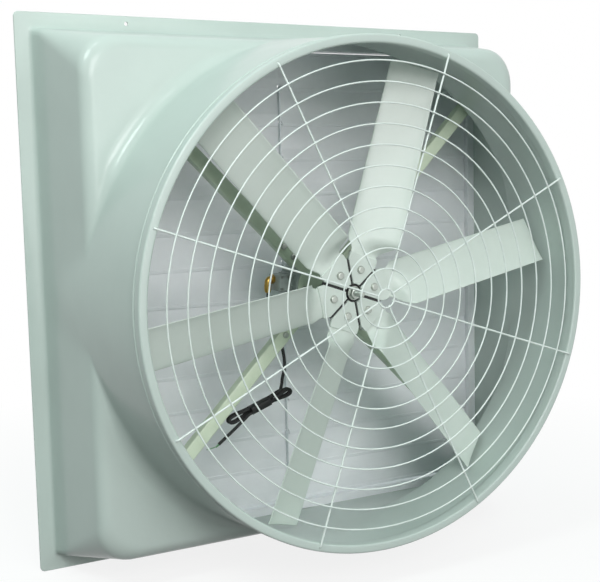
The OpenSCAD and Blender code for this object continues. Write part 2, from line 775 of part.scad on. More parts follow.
module shutter_frame() color(PVC) fan_frame() difference() {
    union() {
        square_frame(frame_half, open_half, box_base_r, frame_back, frame_back + frame_t);
        square_frame(frame_half, open_half, box_base_r, frame_front_z - frame_t, frame_front_z);
        square_frame(open_half + frame_t, open_half, frame_t, frame_back, frame_front_z);
        at_frame_screws() bar_z(FRAME_HEAD_R + 2, -frame_w, 0);
    }
    for (k = [1:SLATS]) translate([0, slat_y(k), pivot_z]) rotate([0, 90, 0])
        bar_z(pivot_r + FIT, -2 * frame_half, 2 * frame_half);
    at_frame_screws() {
        bar_z(FRAME_SCREW_R + FIT, -frame_w - EPS, EPS);
        bar_z(FRAME_HEAD_R + FIT, -frame_w - EPS, FRAME_HEAD_H - frame_w);
    }
}

// Screw places in the middle of the channel, clear of the pivots, pointing outwards
module at_frame_screws() for (k = [0:3], side = [-1, 1]) rotate(90 * k)
    translate([frame_half, side * slat_pitch * 3.5, frame_front_z - 12]) rotate([0, 90, 0]) children();

module shutter_screws() color(STEEL) fan_frame() at_frame_screws() {
    bar_z(FRAME_HEAD_R, -frame_w, FRAME_HEAD_H - frame_w);
    bar_z(FRAME_SCREW_R, FRAME_HEAD_H - frame_w - EPS, SEAT + FRAME_SCREW_IN);
}

// Slat section: a bead on the pivot line and a bowed web with a thicker hem
module slat_section() {
    end = slat_pitch + slat_lap;
    steps = 6;
    hem = end - HEM_W;
    circle(bead_r);
    polygon([[-web_out(hem), -hem], [-web_out(hem) - HEM_T, -hem], [-web_out(end) - HEM_T, -end],
        [-web_out(end), -end]]);
    polygon(concat(
        [for (i = [0:steps]) let(u = end * i / steps) [-web_out(u) - slat_t / 2, -u]],
        [for (i = [steps:-1:0]) let(u = end * i / steps) [-web_out(u) + slat_t / 2, -u]]));
}

module slat(k) color(PVC) fan_frame() translate([0, slat_y(k), pivot_z]) {
    difference() {
        rotate([0, 90, 0]) translate([0, 0, -slat_half]) linear_extrude(2 * slat_half) slat_section();
        translate([-NOTCH_HALF, -slat_pitch - 2 * slat_lap, -slat_pitch / 2])
            cube([2 * NOTCH_HALF, 2 * slat_lap + 10, slat_pitch]);
    }
    rotate([0, 90, 0]) {
        bar_z(pivot_r, slat_half - EPS, open_half + frame_t - 0.2);
        bar_z(pivot_r, -open_half - frame_t + 0.2, -slat_half + EPS);
    }
    translate([NOTCH_HALF, 0, 0]) rotate([0, 90, 0]) {
        linear_extrude(LUG_T) polygon([[-web_out(link_drop - 14), -link_drop + 14],
            [-link_out, -link_drop + 6], [-link_out - 5, -link_drop], [-link_out, -link_drop - 5],
            [-web_out(link_drop + 5), -link_drop - 5]]);
        translate([-link_out, -link_drop]) bar_z(link_r, -NOTCH_HALF - bar_t / 2 - 2, EPS);
    }
}

module slat_1() slat(1);
module slat_2() slat(2);
module slat_3() slat(3);
module slat_4() slat(4);
module slat_5() slat(5);
module slat_6() slat(6);
module slat_7() slat(7);
module slat_8() slat(8);
module slat_9() slat(9);
module slat_10() slat(10);
module slat_11() slat(11);
module slat_12() slat(12);
module slat_13() slat(13);

module tie_bar() color(STEEL) fan_frame() difference() {
    translate([-bar_t / 2, slat_y(SLATS) - link_drop - 6, pivot_z + link_out - bar_w / 2])
        cube([bar_t, slat_pitch * (SLATS - 1) + 12, bar_w]);
    for (k = [1:SLATS]) translate([0, slat_y(k) - link_drop, pivot_z + link_out]) rotate([0, 90, 0])
        bar_z(link_r + FIT, -bar_t, bar_t);
}

// Cord

// Point of the hank at a turn angle: a figure drawn in at the waist, climbing one strand a turn
function hank_flat(a) =
    let(leave = strand * smooth((a - 745) / 70) + HANK_OUT * smooth((a - 822) / 30),
        across = -sin(a) * (hank_waist + hank_flare * pow(cos(a), 2)))
    [-hank_half * sign(cos(a)) * pow(abs(cos(a)), HANK_BLUNT), across + leave];

function hank_point(a) =
    let(p = hank_flat(a), layer = smooth((a - 275) / 75) + smooth((a - 635) / 75),
        along = [-cos(HANK_TILT), -sin(HANK_TILT)], down = [sin(HANK_TILT), -cos(HANK_TILT)],
        q = p[0] * along + p[1] * down)
    HANK_AT + [q[0], q[1], strand * layer];

hank_turns = [for (a = [HANK_FROM:HANK_STEP:HANK_TO]) hank_point(a)];
hank_in = unit(hank_turns[1] - hank_turns[0]);
hank_out = unit(hank_turns[len(hank_turns) - 1] - hank_turns[len(hank_turns) - 2]);
hank_start = hank_turns[0] - cord_d * hank_in;
hank_end = hank_turns[len(hank_turns) - 1] + cord_d * hank_out;
hank_path = concat([hank_start], hank_turns, [hank_end]);
gland_end = [gland_x, gland_y - GLAND_DROP, gland_z];
lead_path = concat([gland_end], [for (p = LEAD_DROP) gland_end + p],
    [hank_start - cord_d * hank_in, hank_start]);
tail_path = [hank_end, hank_end + cord_d * hank_out, TAIL_BEND, TAIL_END];

// Least gap between strands of the hank that lie more than a quarter turn apart
near = ceil(90 / HANK_STEP);
hank_gap = min([for (i = [0:len(hank_path) - 1], j = [i + near:1:len(hank_path) - 1])
    norm(hank_path[i] - hank_path[j])]) - cord_d;
echo(hank_gap = hank_gap);

function sum(v) = v * [for (x = v) 1];
function path_length(p) = sum([for (i = [1:len(p) - 1]) norm(p[i] - p[i - 1])]);
echo(cord_length = path_length(lead_path) + path_length(hank_path) + path_length(tail_path));

module cord_lead() color(BLACK) fan_frame() tube(lead_path, cord_d, 10);
module cord_hank() color(BLACK) fan_frame() tube(hank_path, cord_d, 8);
module cord_tail() color(BLACK) fan_frame() tube(tail_path, cord_d, 10);

// Tape band around the waist of the hank
module cord_tie() color(BLACK) fan_frame() translate(HANK_AT + [0, 0, strand])
    rotate(HANK_TILT) rotate([90, 0, 90]) translate([0, 0, -TIE_HALF]) linear_extrude(2 * TIE_HALF)
    difference() {
        rounded_rect(tie_across + TIE_T, tie_deep + TIE_T, cord_r + TIE_T);
        rounded_rect(tie_across, tie_deep, cord_r - FIT);
    }

module cord_cores() color(GREEN) fan_frame() {
    out = unit(TAIL_END - TAIL_BEND);
    tube([TAIL_END, TAIL_END + 3 * CORE_D * out, TAIL_END + CORE_D * [-8, -3, 0],
        TAIL_END + CORE_D * [-13, -3.5, 0]], CORE_D, 8);
    for (side = [-1, 1]) {
        base = TAIL_END + side * 1.3 * CORE_D / 2 * unit([out[1], -out[0], side * 0.6]);
        tube([base, base + 5 * out, base + 10 * out + [0, 0, side]], CORE_D * 0.8, 8);
    }
}

housing();
guard();
blade_1();
blade_2();
blade_3();
blade_4();
blade_5();
blade_6();
hub();
hub_key();
blade_bolts();
blade_nuts();
motor_shaft();
shaft_washer();
shaft_nut();
rotor_core();
motor_frame();
front_end_shield();
rear_end_shield();
stator_core();
stator_windings();
front_bearing();
rear_bearing();
motor_tie_bolts();
motor_mount_bolts();
terminal_box();
terminal_lid();
lid_screws();
terminal_block();
cable_gland();
centre_plate();
arm_upper_right();
arm_upper_left();
arm_lower_left();
arm_lower_right();
arm_inner_bolts();
arm_outer_bolts();
shutter_frame();
shutter_screws();
slat_1();
slat_2();
slat_3();
slat_4();
slat_5();
slat_6();
slat_7();
slat_8();
slat_9();
slat_10();
slat_11();
slat_12();
slat_13();
tie_bar();
cord_lead();
cord_hank();
cord_tail();
cord_tie();
cord_cores();
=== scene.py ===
# %% [markdown]
# # Greenhouse exhaust fan
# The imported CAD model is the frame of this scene. Every piece below is worked out in the same
# frame, in metres, so nothing has to be fitted afterwards. This lesson dresses the frame with
# smoother skins and with finishes made of shader nodes.

# %% Load the frame
import math
import bpy
import numpy as np
from mathutils import Matrix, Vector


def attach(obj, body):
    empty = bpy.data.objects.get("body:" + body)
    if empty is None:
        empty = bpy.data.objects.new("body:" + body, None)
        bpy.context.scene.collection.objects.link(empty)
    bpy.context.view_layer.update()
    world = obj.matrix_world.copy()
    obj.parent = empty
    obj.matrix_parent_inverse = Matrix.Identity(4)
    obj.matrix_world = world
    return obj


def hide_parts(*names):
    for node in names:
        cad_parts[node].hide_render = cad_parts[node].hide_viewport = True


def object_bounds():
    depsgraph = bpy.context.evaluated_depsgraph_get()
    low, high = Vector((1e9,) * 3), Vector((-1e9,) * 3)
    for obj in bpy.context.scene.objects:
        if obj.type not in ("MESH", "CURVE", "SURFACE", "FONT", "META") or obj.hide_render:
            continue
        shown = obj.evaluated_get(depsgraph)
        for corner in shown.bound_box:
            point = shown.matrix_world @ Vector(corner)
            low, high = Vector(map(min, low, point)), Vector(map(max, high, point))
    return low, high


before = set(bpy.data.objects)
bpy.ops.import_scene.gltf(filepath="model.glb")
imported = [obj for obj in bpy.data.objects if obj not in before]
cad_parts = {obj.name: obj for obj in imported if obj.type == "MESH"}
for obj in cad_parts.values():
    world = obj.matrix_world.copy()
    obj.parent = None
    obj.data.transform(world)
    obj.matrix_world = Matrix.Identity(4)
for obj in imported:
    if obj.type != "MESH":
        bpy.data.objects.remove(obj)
cad_low, cad_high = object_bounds()
scene = bpy.context.scene
print("CAD box", [round(v, 3) for v in cad_low], [round(v, 3) for v in cad_high])

# %% [markdown]
# ## Fan frame
# A fan is easiest to think of along its own axis: x to the right, y up, and h, the depth in front
# of the wall. In Blender the outlet faces -Y, so a fan point (x, y, h) lies at (x, -h, y). All
# sizes in the functions are millimetres and become metres in one place.

# %% From fan millimetres to Blender metres
MM = 0.001


def fan(x, y, h):
    """Fan coordinates in millimetres to points in metres: (x, -h, y)."""
    x, y, h = np.broadcast_arrays(x, y, h)
    return np.stack([x, -h, y], axis=-1) * MM


def rows_of(*columns):
    """Columns of numbers side by side, as rows."""
    return np.stack(columns, axis=-1)


def smooth(t):
    """Smoothstep: 0 below 0, 1 above 1, and 3t^2 - 2t^3 between."""
    u = np.clip(t, 0, 1)
    return u * u * (3 - 2 * u)


def unit(v):
    """A vector of length one along v."""
    return np.asarray(v, float) / np.linalg.norm(v)


def signed_power(v, k):
    """The size of v raised to the power k, with the sign of v."""
    return np.sign(v) * np.abs(v) ** k


def round_angles(n):
    """Angles of n equal steps round a circle, in radians."""
    return np.linspace(0, 2 * math.pi, n, endpoint=False)


def quarter(n):
    """Angles of n points over a quarter turn, in radians."""
    return np.radians(np.linspace(0, 90, n))


def arc(r, a, at=(0, 0)):
    """Points (r cos a, r sin a) round a middle, for an array of angles in radians."""
    return rows_of(at[0] + r * np.cos(a), at[1] + r * np.sin(a))


def spun(x, y, deg):
    """Points turned about the fan axis: (x cos a - y sin a, x sin a + y cos a)."""
    a = math.radians(deg)
    return x * math.cos(a) - y * math.sin(a), x * math.sin(a) + y * math.cos(a)


def polar(r, deg):
    """The fan point (r cos a, r sin a) for one angle in degrees."""
    return spun(r, 0, deg)


# %% [markdown]
# ## Camera
# The camera stands to the left of the fan axis, a little above its middle, and looks at the outlet.
# It could be turned by hand until the outlines agree. Written as two angles, a roll and a distance,
# its place can be read and changed. They come from the flange's corners and the rim's outline.

# %% Camera
def placed(name, data):
    """A new object, linked to the scene."""
    obj = bpy.data.objects.new(name, data)
    scene.collection.objects.link(obj)
    return obj


def set_axes(obj, x, y, z, at):
    """Turns an object so that its axes are x, y and z, and moves it to a point."""
    m = np.eye(4)
    m[:3] = np.column_stack([x, y, z, at])
    obj.matrix_world = Matrix(m.tolist())


az, el, roll = np.radians([28.5, 6.3, -1.28])
aim, away = np.array([-0.034, -0.200, -0.012]), 2.992
back = np.array([-math.sin(az) * math.cos(el), -math.cos(az) * math.cos(el), math.sin(el)])
right = unit(np.cross(-back, [0, 0, 1]))
up = np.cross(right, -back)
camera = placed("camera", bpy.data.cameras.new("camera"))
camera.data.sensor_fit = "HORIZONTAL"
camera.data.sensor_width = 36
camera.data.lens = 65.76
camera.data.clip_end = 60
set_axes(camera, math.cos(roll) * right + math.sin(roll) * up,
         -math.sin(roll) * right + math.cos(roll) * up, back, aim + back * away)
scene.camera = camera
print("camera at", [round(v, 3) for v in camera.matrix_world.translation])

# %% [markdown]
# ## Patches
# A piece is made of patches. A patch is a grid of points worked out as one array, with its quads
# numbered by the same arithmetic. Blender's own primitives could start many pieces, but a grid puts
# every edge where the formula wants it. Closed grids wrap round, and a flat end is a fan of
# triangles to the middle of its ring. The signed volume of a patch tells whether its faces point
# outwards.

# %% Grid patches
def grid(points, wrap_u=False, wrap_v=False):
    """Quads over a grid of points (U, V, 3), with one row or column more where it wraps."""
    nu, nv = points.shape[:2]
    a, b = np.indices((nu if wrap_u else nu - 1, nv if wrap_v else nv - 1))
    a2, b2 = (a + 1) % nu, (b + 1) % nv
    quads = rows_of(a * nv + b, a2 * nv + b, a2 * nv + b2, a * nv + b2)
    return points.reshape(-1, 3), [quads.reshape(-1, 4)]


def closed(points):
    """A grid that joins round both ways."""
    return grid(points, wrap_u=True, wrap_v=True)


def capped(rings):
    """A tube of rings (U, V, 3): quads round it, and a fan of triangles at each end."""
    points = np.asarray(rings)
    flat, faces = grid(points, wrap_v=True)
    nu, nv = points.shape[:2]
    ends = np.stack([points[0].mean(0), points[-1].mean(0)])
    j = np.arange(nv)
    k = (j + 1) % nv
    first = rows_of(np.full(nv, nu * nv), k, j)
    last = rows_of(np.full(nv, nu * nv + 1), (nu - 1) * nv + j, (nu - 1) * nv + k)
    return np.concatenate([flat, ends]), faces + [first, last]


def outward(patch):
    """The patch with its faces turned so that its signed volume is positive."""
    pts, faces = patch
    total = 0
    for f in faces:
        for i in range(1, f.shape[1] - 1):
            total += np.einsum("ij,ij->", pts[f[:, 0]], np.cross(pts[f[:, i]], pts[f[:, i + 1]]))
    return (pts, faces) if total > 0 else (pts, [f[:, ::-1] for f in faces])


def mesh_of(name, patches):
    """One mesh out of patches: their points in a row, with the face numbers moved along."""
    points, rows = [], []
    for pts, faces in map(outward, patches):
        rows += [row for f in faces for row in (f + len(points)).tolist()]
        points += pts.tolist()
    mesh = bpy.data.meshes.new(name)
    mesh.from_pydata(points, [], rows)
    return mesh


def piece(name, patches, material, nodes, body="casing", sharp=35):
    """One Blender object out of patches, riding on a body and standing for its CAD nodes."""
    mesh = mesh_of(name, patches)
    mesh.polygons.foreach_set("use_smooth", np.ones(len(mesh.polygons), bool))
    mesh.set_sharp_from_angle(angle=math.radians(sharp))
    mesh.update()
    mesh.materials.append(material)
    obj = placed(name, mesh)
    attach(obj, body)
    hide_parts(*nodes)
    print(name, len(mesh.vertices), "points")
    return obj


# %% [markdown]
# ## Shapes used again and again
# Most hardware is turned, pressed from plate, or bent from wire. A turned piece is a profile
# carried round an axis, a plate is an outline carried through a rounded edge, and a wire is a
# circle carried along a path. The Screw modifier and bevelled curves do much the same, but a few
# lines of arrays serve every axis and give plain meshes at once.

# %% Turned pieces, plates and wires
def turned(profile, around=96, at=(0, 0), axis="h", hollow=False):
    """Profile rows (radius, place along the axis) carried round; a hollow profile closes on itself."""
    prof = np.asarray(profile, float)
    a = round_angles(around)
    s, t, along = at[0] + prof[:, :1] * np.cos(a), at[1] + prof[:, :1] * np.sin(a), prof[:, 1:]
    pts = fan(*{"h": (s, t, along), "x": (along, s, t), "y": (s, along, t)}[axis])
    return closed(pts) if hollow else capped(pts)


def plate(outline, h0, h1, r=1):
    """A plate between two depths: its outline shrinks to the middle by r (1 - cos a) over the edge."""
    out = np.asarray(outline, float)
    mid = out.mean(0)
    reach = np.linalg.norm(out - mid, axis=1, keepdims=True)
    rings = []
    for a in np.radians(np.linspace(-90, 90, 7)):
        ring = mid + (out - mid) * (1 - r * (1 - math.cos(a)) / reach)
        lift = ((h1 - h0) / 2 - r) * np.sign(a) + r * math.sin(a)
        rings.append(fan(*ring.T, (h0 + h1) / 2 + lift))
    return capped(rings)


def turned_outline(outline, deg):
    """The outline turned about the fan axis."""
    return rows_of(*spun(*np.asarray(outline, float).T, deg))


def side_points(corners, n):
    """A closed outline with n points along each of its sides."""
    ahead = np.roll(corners, -1, axis=0)
    t = np.linspace(0, 1, n, endpoint=False)[:, None]
    return ((1 - t) * corners[:, None] + t * ahead[:, None]).reshape(-1, 2)


def hexagon(flats, turn=0):
    """Outline of a hexagon across flats, with points along its sides."""
    return side_points(arc(flats / math.sqrt(3), np.radians(turn + 60 * np.arange(6))), 8)


def wire(path, diameter, sides=10):
    """A round wire along a path of points in metres, carried without twist."""
    t = np.gradient(path, axis=0)
    t /= np.linalg.norm(t, axis=1, keepdims=True)
    side = np.zeros_like(path)
    seed = np.array([0, 1, 0]) if abs(t[0, 1]) < 0.8 else np.array([1, 0, 0])
    side[0] = unit(np.cross(t[0], seed))
    for i in range(1, len(path)):
        side[i] = unit(side[i - 1] - t[i] * np.dot(side[i - 1], t[i]))
    other = np.cross(t, side)
    a = round_angles(sides)[:, None]
    ring = side[:, None] * np.cos(a) + other[:, None] * np.sin(a)
    return capped(path[:, None] + ring * diameter / 2)


def through(p, step):
    """A smooth curve through the points p (Catmull-Rom), sampled about every step metres."""
    q = np.concatenate([[2 * p[0] - p[1]], p, [2 * p[-1] - p[-2]]])
    rows = []
    for i in range(1, len(q) - 2):
        n = max(2, int(math.ceil(np.linalg.norm(q[i + 1] - q[i]) / step)))
        t = np.linspace(0, 1, n, endpoint=False)[:, None]
        a, b, c, d = q[i - 1], q[i], q[i + 1], q[i + 2]
        rows.append(0.5 * (2 * b + (c - a) * t + (2 * a - 5 * b + 4 * c - d) * t ** 2
                           + (3 * b - a - 3 * c + d) * t ** 3))
    return np.concatenate(rows + [p[-1:]])


# %% [markdown]
# ## Finishes
# A finish is a small node tree that follows the real surface: one noise picks the tone, one makes
# the gloss uneven and one raises the surface. A painted picture could carry such marks too, but a
# noise on Object coordinates needs no UV map and doesn't stretch. The colours are written as they
# look in plain light.

# %% Node helpers
def srgb(r, g, b):
    """A colour written in 0 to 255 screen values, as linear light."""
    c = np.array([r, g, b]) / 255
    lin = np.where(c <= 0.04045, c / 12.92, ((c + 0.055) / 1.055) ** 2.4)
    return (*lin.tolist(), 1)


def shade(colour, k):
    """The colour made lighter or darker by a factor."""
    return tuple(min(1, c * k) for c in colour[:3]) + (1,)


def feed(tree, target, **sockets):
    """Gives each named socket of a node a plain value, or a link from another node's output."""
    for name, value in sockets.items():
        socket = target.inputs[name.replace("_", " ")]
        if isinstance(value, bpy.types.NodeSocket):
            tree.links.new(value, socket)
        else:
            socket.default_value = value
    return target


def node(tree, kind, **sockets):
    """A new shader node with its named sockets fed."""
    return feed(tree, tree.nodes.new(kind), **sockets)


def stretched(tree, scale):
    """Object coordinates scaled along each axis, so that a pattern can follow a direction."""
    coord = node(tree, "ShaderNodeTexCoord")
    return node(tree, "ShaderNodeMapping", Vector=coord.outputs["Object"], Scale=scale).outputs["Vector"]


def noise(tree, scale, detail, rough=0.5, stretch=(1, 1, 1)):
    """A noise value over the object's coordinates, stretched along each axis."""
    return node(tree, "ShaderNodeTexNoise", Vector=stretched(tree, stretch), Scale=scale, Detail=detail,
                Roughness=rough).outputs["Fac"]


def ramp(tree, value, stops):
    """A colour ramp over a value: stops are (place, colour)."""
    made = node(tree, "ShaderNodeValToRGB", Fac=value)
    ends = made.color_ramp.elements
    ends[0].position, ends[0].color = stops[0]
    ends[1].position, ends[1].color = stops[-1]
    for place, colour in stops[1:-1]:
        ends.new(place).color = colour
    return made.outputs["Color"]


def finish(name, base, roughness, tone, stops, gloss, grain, relief, **plain):
    """A Principled finish whose plain values stand on the shader's own sockets.

    A noise is (scale, detail, roughness, stretch). Tone and grain are noises, gloss is a noise with the
    lowest and highest change of roughness, and relief is a distance with a strength.
    """
    mat = bpy.data.materials.new(name)
    mat.use_nodes = True
    tree = mat.node_tree
    shader = feed(tree, tree.nodes["Principled BSDF"], Base_Color=base, Roughness=roughness,
                  Coat_Roughness=0.12, **plain)
    uneven = node(tree, "ShaderNodeMapRange", Value=noise(tree, *gloss[0]), To_Min=roughness + gloss[1],
                  To_Max=roughness + gloss[2])
    raised = node(tree, "ShaderNodeBump", Height=noise(tree, *grain), Distance=relief[0],
                  Strength=relief[1])
    feed(tree, shader, Base_Color=ramp(tree, noise(tree, *tone), stops), Roughness=uneven.outputs["Result"],
         Normal=raised.outputs["Normal"])
    print("finish", name)
    return mat


# %% [markdown]
# Gelcoat: the moulding was sprayed into a polished mould, so it is glossy, with a cloudy tone, an
# uneven gloss and a faint orange peel. One flat colour would make the wide walls look like paper,
# so all three marks are there, but each of them is faint.

# %% Gelcoat
PALE = srgb(192, 205, 199)
GELCOAT = finish(
    "gelcoat", PALE, 0.36, tone=(3, 5, 0.55),
    stops=[(0.25, shade(PALE, 0.93)), (0.55, PALE), (0.8, shade(PALE, 1.03))],
    gloss=((22, 4), -0.06, 0.10), grain=(55, 2), relief=(0.0006, 0.35),
    Coat_Weight=0.4, Specular_IOR_Level=0.15)


# %% [markdown]
# Paints: the blades, the arms, the motor, the guard and the hub are coated metal. A sprayed coat
# has a fine grain, a small change of tone and an uneven gloss. The coats differ only in their
# colours, their gloss and the size of their streaks, so one function makes them all.

# %% Sprayed coats
def sprayed(name, base, dark, roughness, streak):
    """Sprayed metal: streaks between two tones, uneven gloss, fine grain in the bump."""
    return finish(name, base, roughness, tone=(streak, 6, 0.6),
                  stops=[(0.3, dark), (0.62, base), (0.85, shade(base, 1.04))],
                  gloss=((31, 4), -0.06, 0.08), grain=(420, 2), relief=(0.0002, 0.2), Coat_Weight=0.1)


BLADE_PAINT = sprayed("blade_paint", srgb(217, 227, 220), srgb(209, 220, 212), 0.40, streak=5)
ARM_PAINT = sprayed("arm_paint", srgb(213, 227, 203), srgb(200, 215, 189), 0.42, streak=14)
MOTOR_PAINT = sprayed("motor_paint", srgb(168, 178, 174), srgb(148, 160, 155), 0.42, streak=18)
WIRE_COAT = sprayed("wire_coat", srgb(226, 235, 231), srgb(214, 224, 219), 0.34, streak=30)
HUB_BLACK = sprayed("hub_black", srgb(26, 28, 28), srgb(16, 18, 18), 0.55, streak=26)

# %% [markdown]
# Plastic slats are pulled through a die, so fine lines run along their length, which is X here. The
# lines could be modelled, but they are finer than any mesh should be. A noise that is stretched
# along X raises them instead. Dust changes the tone and the gloss together.

# %% Extruded plastic
SLAT_WHITE = srgb(243, 247, 249)
DUST = (5, 6, 0.6)
SLAT_PLASTIC = finish(
    "slat_plastic", SLAT_WHITE, 0.42, tone=DUST,
    stops=[(0.3, srgb(234, 238, 241)), (0.6, SLAT_WHITE), (0.85, srgb(248, 251, 252))],
    gloss=(DUST, -0.08, 0.10), grain=(6, 4, 0.6, (0.25, 60, 60)), relief=(0.0005, 0.5))


# %% [markdown]
# Metal parts: zinc-plated steel is dull and slightly blotchy, brass is warm, aluminium is drawn and
# has lines along it. Stretching one and the same noise turns blotches into drawn lines, so one
# function does for all of them. The cord's sheath is a dull black rubber with a fine grain.

# %% Bare metals, rubber and small plastics
def metal(name, base, roughness, stretch=(1, 1, 1), lines=160):
    """Bare metal: the same fine lines or blotches in the tone, the gloss and the bump."""
    streaks = (lines, 4, 0.6, stretch)
    return finish(name, base, roughness, tone=streaks, stops=[(0.2, shade(base, 0.82)), (0.8, base)],
                  gloss=(streaks, -0.1, 0.15), grain=streaks, relief=(0.0001, 0.2), Metallic=1)


def rubber(name, base, roughness, grain=900):
    """Dull sheath or moulded plastic: scuffs in the tone and the gloss, fine grain in the bump."""
    scuff = (60, 5, 0.6)
    return finish(name, base, roughness, tone=scuff, stops=[(0.3, base), (0.9, shade(base, 1.5))],
                  gloss=(scuff, -0.1, 0.15), grain=(grain, 2), relief=(0.0001, 0.4))


ZINC = metal("zinc_steel", srgb(180, 187, 180), 0.3)
BRASS = metal("gland_brass", srgb(206, 168, 88), 0.3)
ALUMINIUM = metal("drawn_aluminium", srgb(222, 228, 230), 0.5, stretch=(1, 1, 0.02), lines=700)
CORE_STEEL = metal("core_steel", srgb(120, 122, 124), 0.5, stretch=(1, 40, 1), lines=60)
COPPER = metal("winding_copper", srgb(190, 118, 70), 0.4)
CORD_RUBBER = rubber("cord_rubber", srgb(13, 16, 16), 0.6)
TAPE = rubber("tape", srgb(11, 13, 13), 0.5, grain=500)
CORE_GREEN = rubber("core_green", srgb(88, 140, 96), 0.45)
BLOCK_BLACK = rubber("block_black", srgb(28, 28, 30), 0.5)

# %% [markdown]
# ## Cord
# The cord comes out of the gland, passes behind the lower left arm and is folded into a hank with
# tape round its waist. The hank is a figure whose two runs draw together in the middle and open
# into loops at the ends, one strand higher with each turn. A bevelled curve could be drawn by hand,
# but a formula keeps the turns apart and tells the cord's length. The route is the one of the CAD
# model.

# %% Cord route
CORD_D, STRAND = 8.5, 9.4
HANK_AT, HANK_TILT = np.array([-197.5, -299, 254]), 19.6
HANK_REACH, HANK_SWELL, HANK_OUT = 94, 14.5, 14
HANK_FROM, HANK_TO, HANK_STEP = 60, 835, 4.5
CLIMB_AT, CLIMB_OVER = (275, 635), 75
LEAVE_AT, LEAVE_OVER, SWING_AT, SWING_OVER = 745, 70, 822, 30
GLAND_END = np.array([-130, -10, 196])
LEAD_DROP = np.array([
    [0, -22, 0], [1, -45, 2], [4, -68, 6], [9, -91, 12], [15, -114, 20], [20, -137, 29],
    [22, -160, 38], [21, -183, 46], [16, -205, 52], [8, -226, 56], [5, -240, 57.5]], float)
TAIL = np.array([[-283, -356, 271], [-321, -385, 269]])


def on_hank(along, across, above):
    """Fan coordinates of a place along the hank, across it and above its first layer."""
    x, y = spun(along, across, HANK_TILT)
    return HANK_AT[0] + x, HANK_AT[1] + y, HANK_AT[2] + above


def hank_points(deg):
    """Fan points at turn angles a: along 94 |cos a|^0.7, across sin a (strand / 2 + 14.5 cos^2 a)."""
    c, s = np.cos(np.radians(deg)), np.sin(np.radians(deg))
    leave = STRAND * smooth((deg - LEAVE_AT) / LEAVE_OVER)
    leave = leave + HANK_OUT * smooth((deg - SWING_AT) / SWING_OVER)
    layer = sum(smooth((deg - start) / CLIMB_OVER) for start in CLIMB_AT)
    across = s * (STRAND / 2 + HANK_SWELL * c * c) - leave
    return rows_of(*on_hank(HANK_REACH * signed_power(c, 0.7), across, STRAND * layer))


turns = hank_points(np.arange(HANK_FROM, HANK_TO + 0.01, HANK_STEP))
lead_in, lead_out = unit(turns[1] - turns[0]), unit(turns[-1] - turns[-2])
route = np.concatenate([
    [GLAND_END], GLAND_END + LEAD_DROP, [turns[0] - 2 * CORD_D * lead_in, turns[0] - CORD_D * lead_in],
    turns, [turns[-1] + CORD_D * lead_out, turns[-1] + 2 * CORD_D * lead_out], TAIL])
cord_path = through(fan(*route.T), 0.004)

# %% [markdown]
# Tape goes round the hank's waist in laps, and the cord's far end is bare, with a green core and
# two cut ones. The laps could be left to a texture, but each ends in a low step that catches light,
# so the step is part of the mesh. The cores are short wires.

# %% Cord, tape and bare cores
TAPE_HALF, TAPE_ACROSS, TAPE_DEEP = 30, 10.6, 14.9
LAP_PITCH, LAP_STEP = 6.5, 0.25
GREEN_D, STUB_D, STUB_OFF = 2.6, 2.08, 1.69

cord = piece("cord", [wire(cord_path, CORD_D * MM, 14)], CORD_RUBBER,
             ["cord_lead", "cord_hank", "cord_tail"], sharp=60)


def tape_band():
    """Tape round the waist: a rounded ring carried along the hank, with a low step at each lap."""
    s = np.linspace(-TAPE_HALF, TAPE_HALF, 121)[:, None]
    a = round_angles(56)
    lap = LAP_STEP * ((s / LAP_PITCH + a / (2 * math.pi)) % 1 - 0.5)
    end = 1 - 0.12 * np.maximum(0, np.abs(s) - TAPE_HALF + 1)
    across = signed_power(np.cos(a), 0.5) * (TAPE_ACROSS + lap) * end
    deep = signed_power(np.sin(a), 0.5) * (TAPE_DEEP + lap) * end
    return capped(fan(*on_hank(s, across, STRAND + deep)))


tape = piece("cord_tape", [tape_band()], TAPE, ["cord_tie"], sharp=50)
tail_dir = unit(TAIL[1] - TAIL[0])
green = TAIL[1] + np.array([0 * tail_dir, 7.8 * tail_dir, [-20.8, -7.8, 0], [-33.8, -9.1, 0]])
core_patches = [wire(through(fan(*green.T), 0.003), GREEN_D * MM)]
for side in (-1, 1):
    foot = TAIL[1] + side * STUB_OFF * unit([tail_dir[1], -tail_dir[0], side * 0.6])
    stub = np.array([foot, foot + 5 * tail_dir, foot + 10 * tail_dir + [0, 0, side]])
    core_patches.append(wire(fan(*stub.T), STUB_D * MM, 8))
cores = piece("cord_cores_bare", core_patches, CORE_GREEN, ["cord_cores"], sharp=60)

# %% [markdown]
# ## Housing
# The housing is one glass-fibre moulding: a square flange, a tapered box with rounded edges and a
# slightly conical drum that bulges out through the four sides. Two meshes could be joined by a
# Boolean and bevelled, but the fillet of the real one changes its size along the seam. A union of
# two implicit solids with a round fillet gives that flow. For every angle round the axis, rays
# leave a point inside the wall and find the surface by halving an interval, so the skin is a grid
# of angle and ray. The inner skin repeats this one wall thickness in.

# %% Moulding sizes
FLANGE, FLANGE_T, FLANGE_ROUND, FLANGE_SOFT = 730, 6, 12, 1.5
FOOT_H, FOOT_OUT, FOOT_BEND = 18, 13, 12.4
BASE, FRONT, DEPTH, SEAT_D = 690, 646, 280, 50
CORNER, CORNER_GAIN, BOX_EDGE = 14, 86, 30
FILLET, FILLET_GAIN = 3, 33
DRUM_R, DRAFT, WALL = 629, math.radians(5.7), 5
RIM_H, RIM_R, LIP_R, LIP_ROUND = 572, 636, 614, 5
LONGEST_RAY, HALVINGS = 700, 44
HOUSING_SHARP = 40


def lean(theta):
    """The larger of |cos| and |sin|: distance to a square's side is lean times the radius."""
    return np.maximum(np.abs(np.cos(theta)), np.abs(np.sin(theta)))


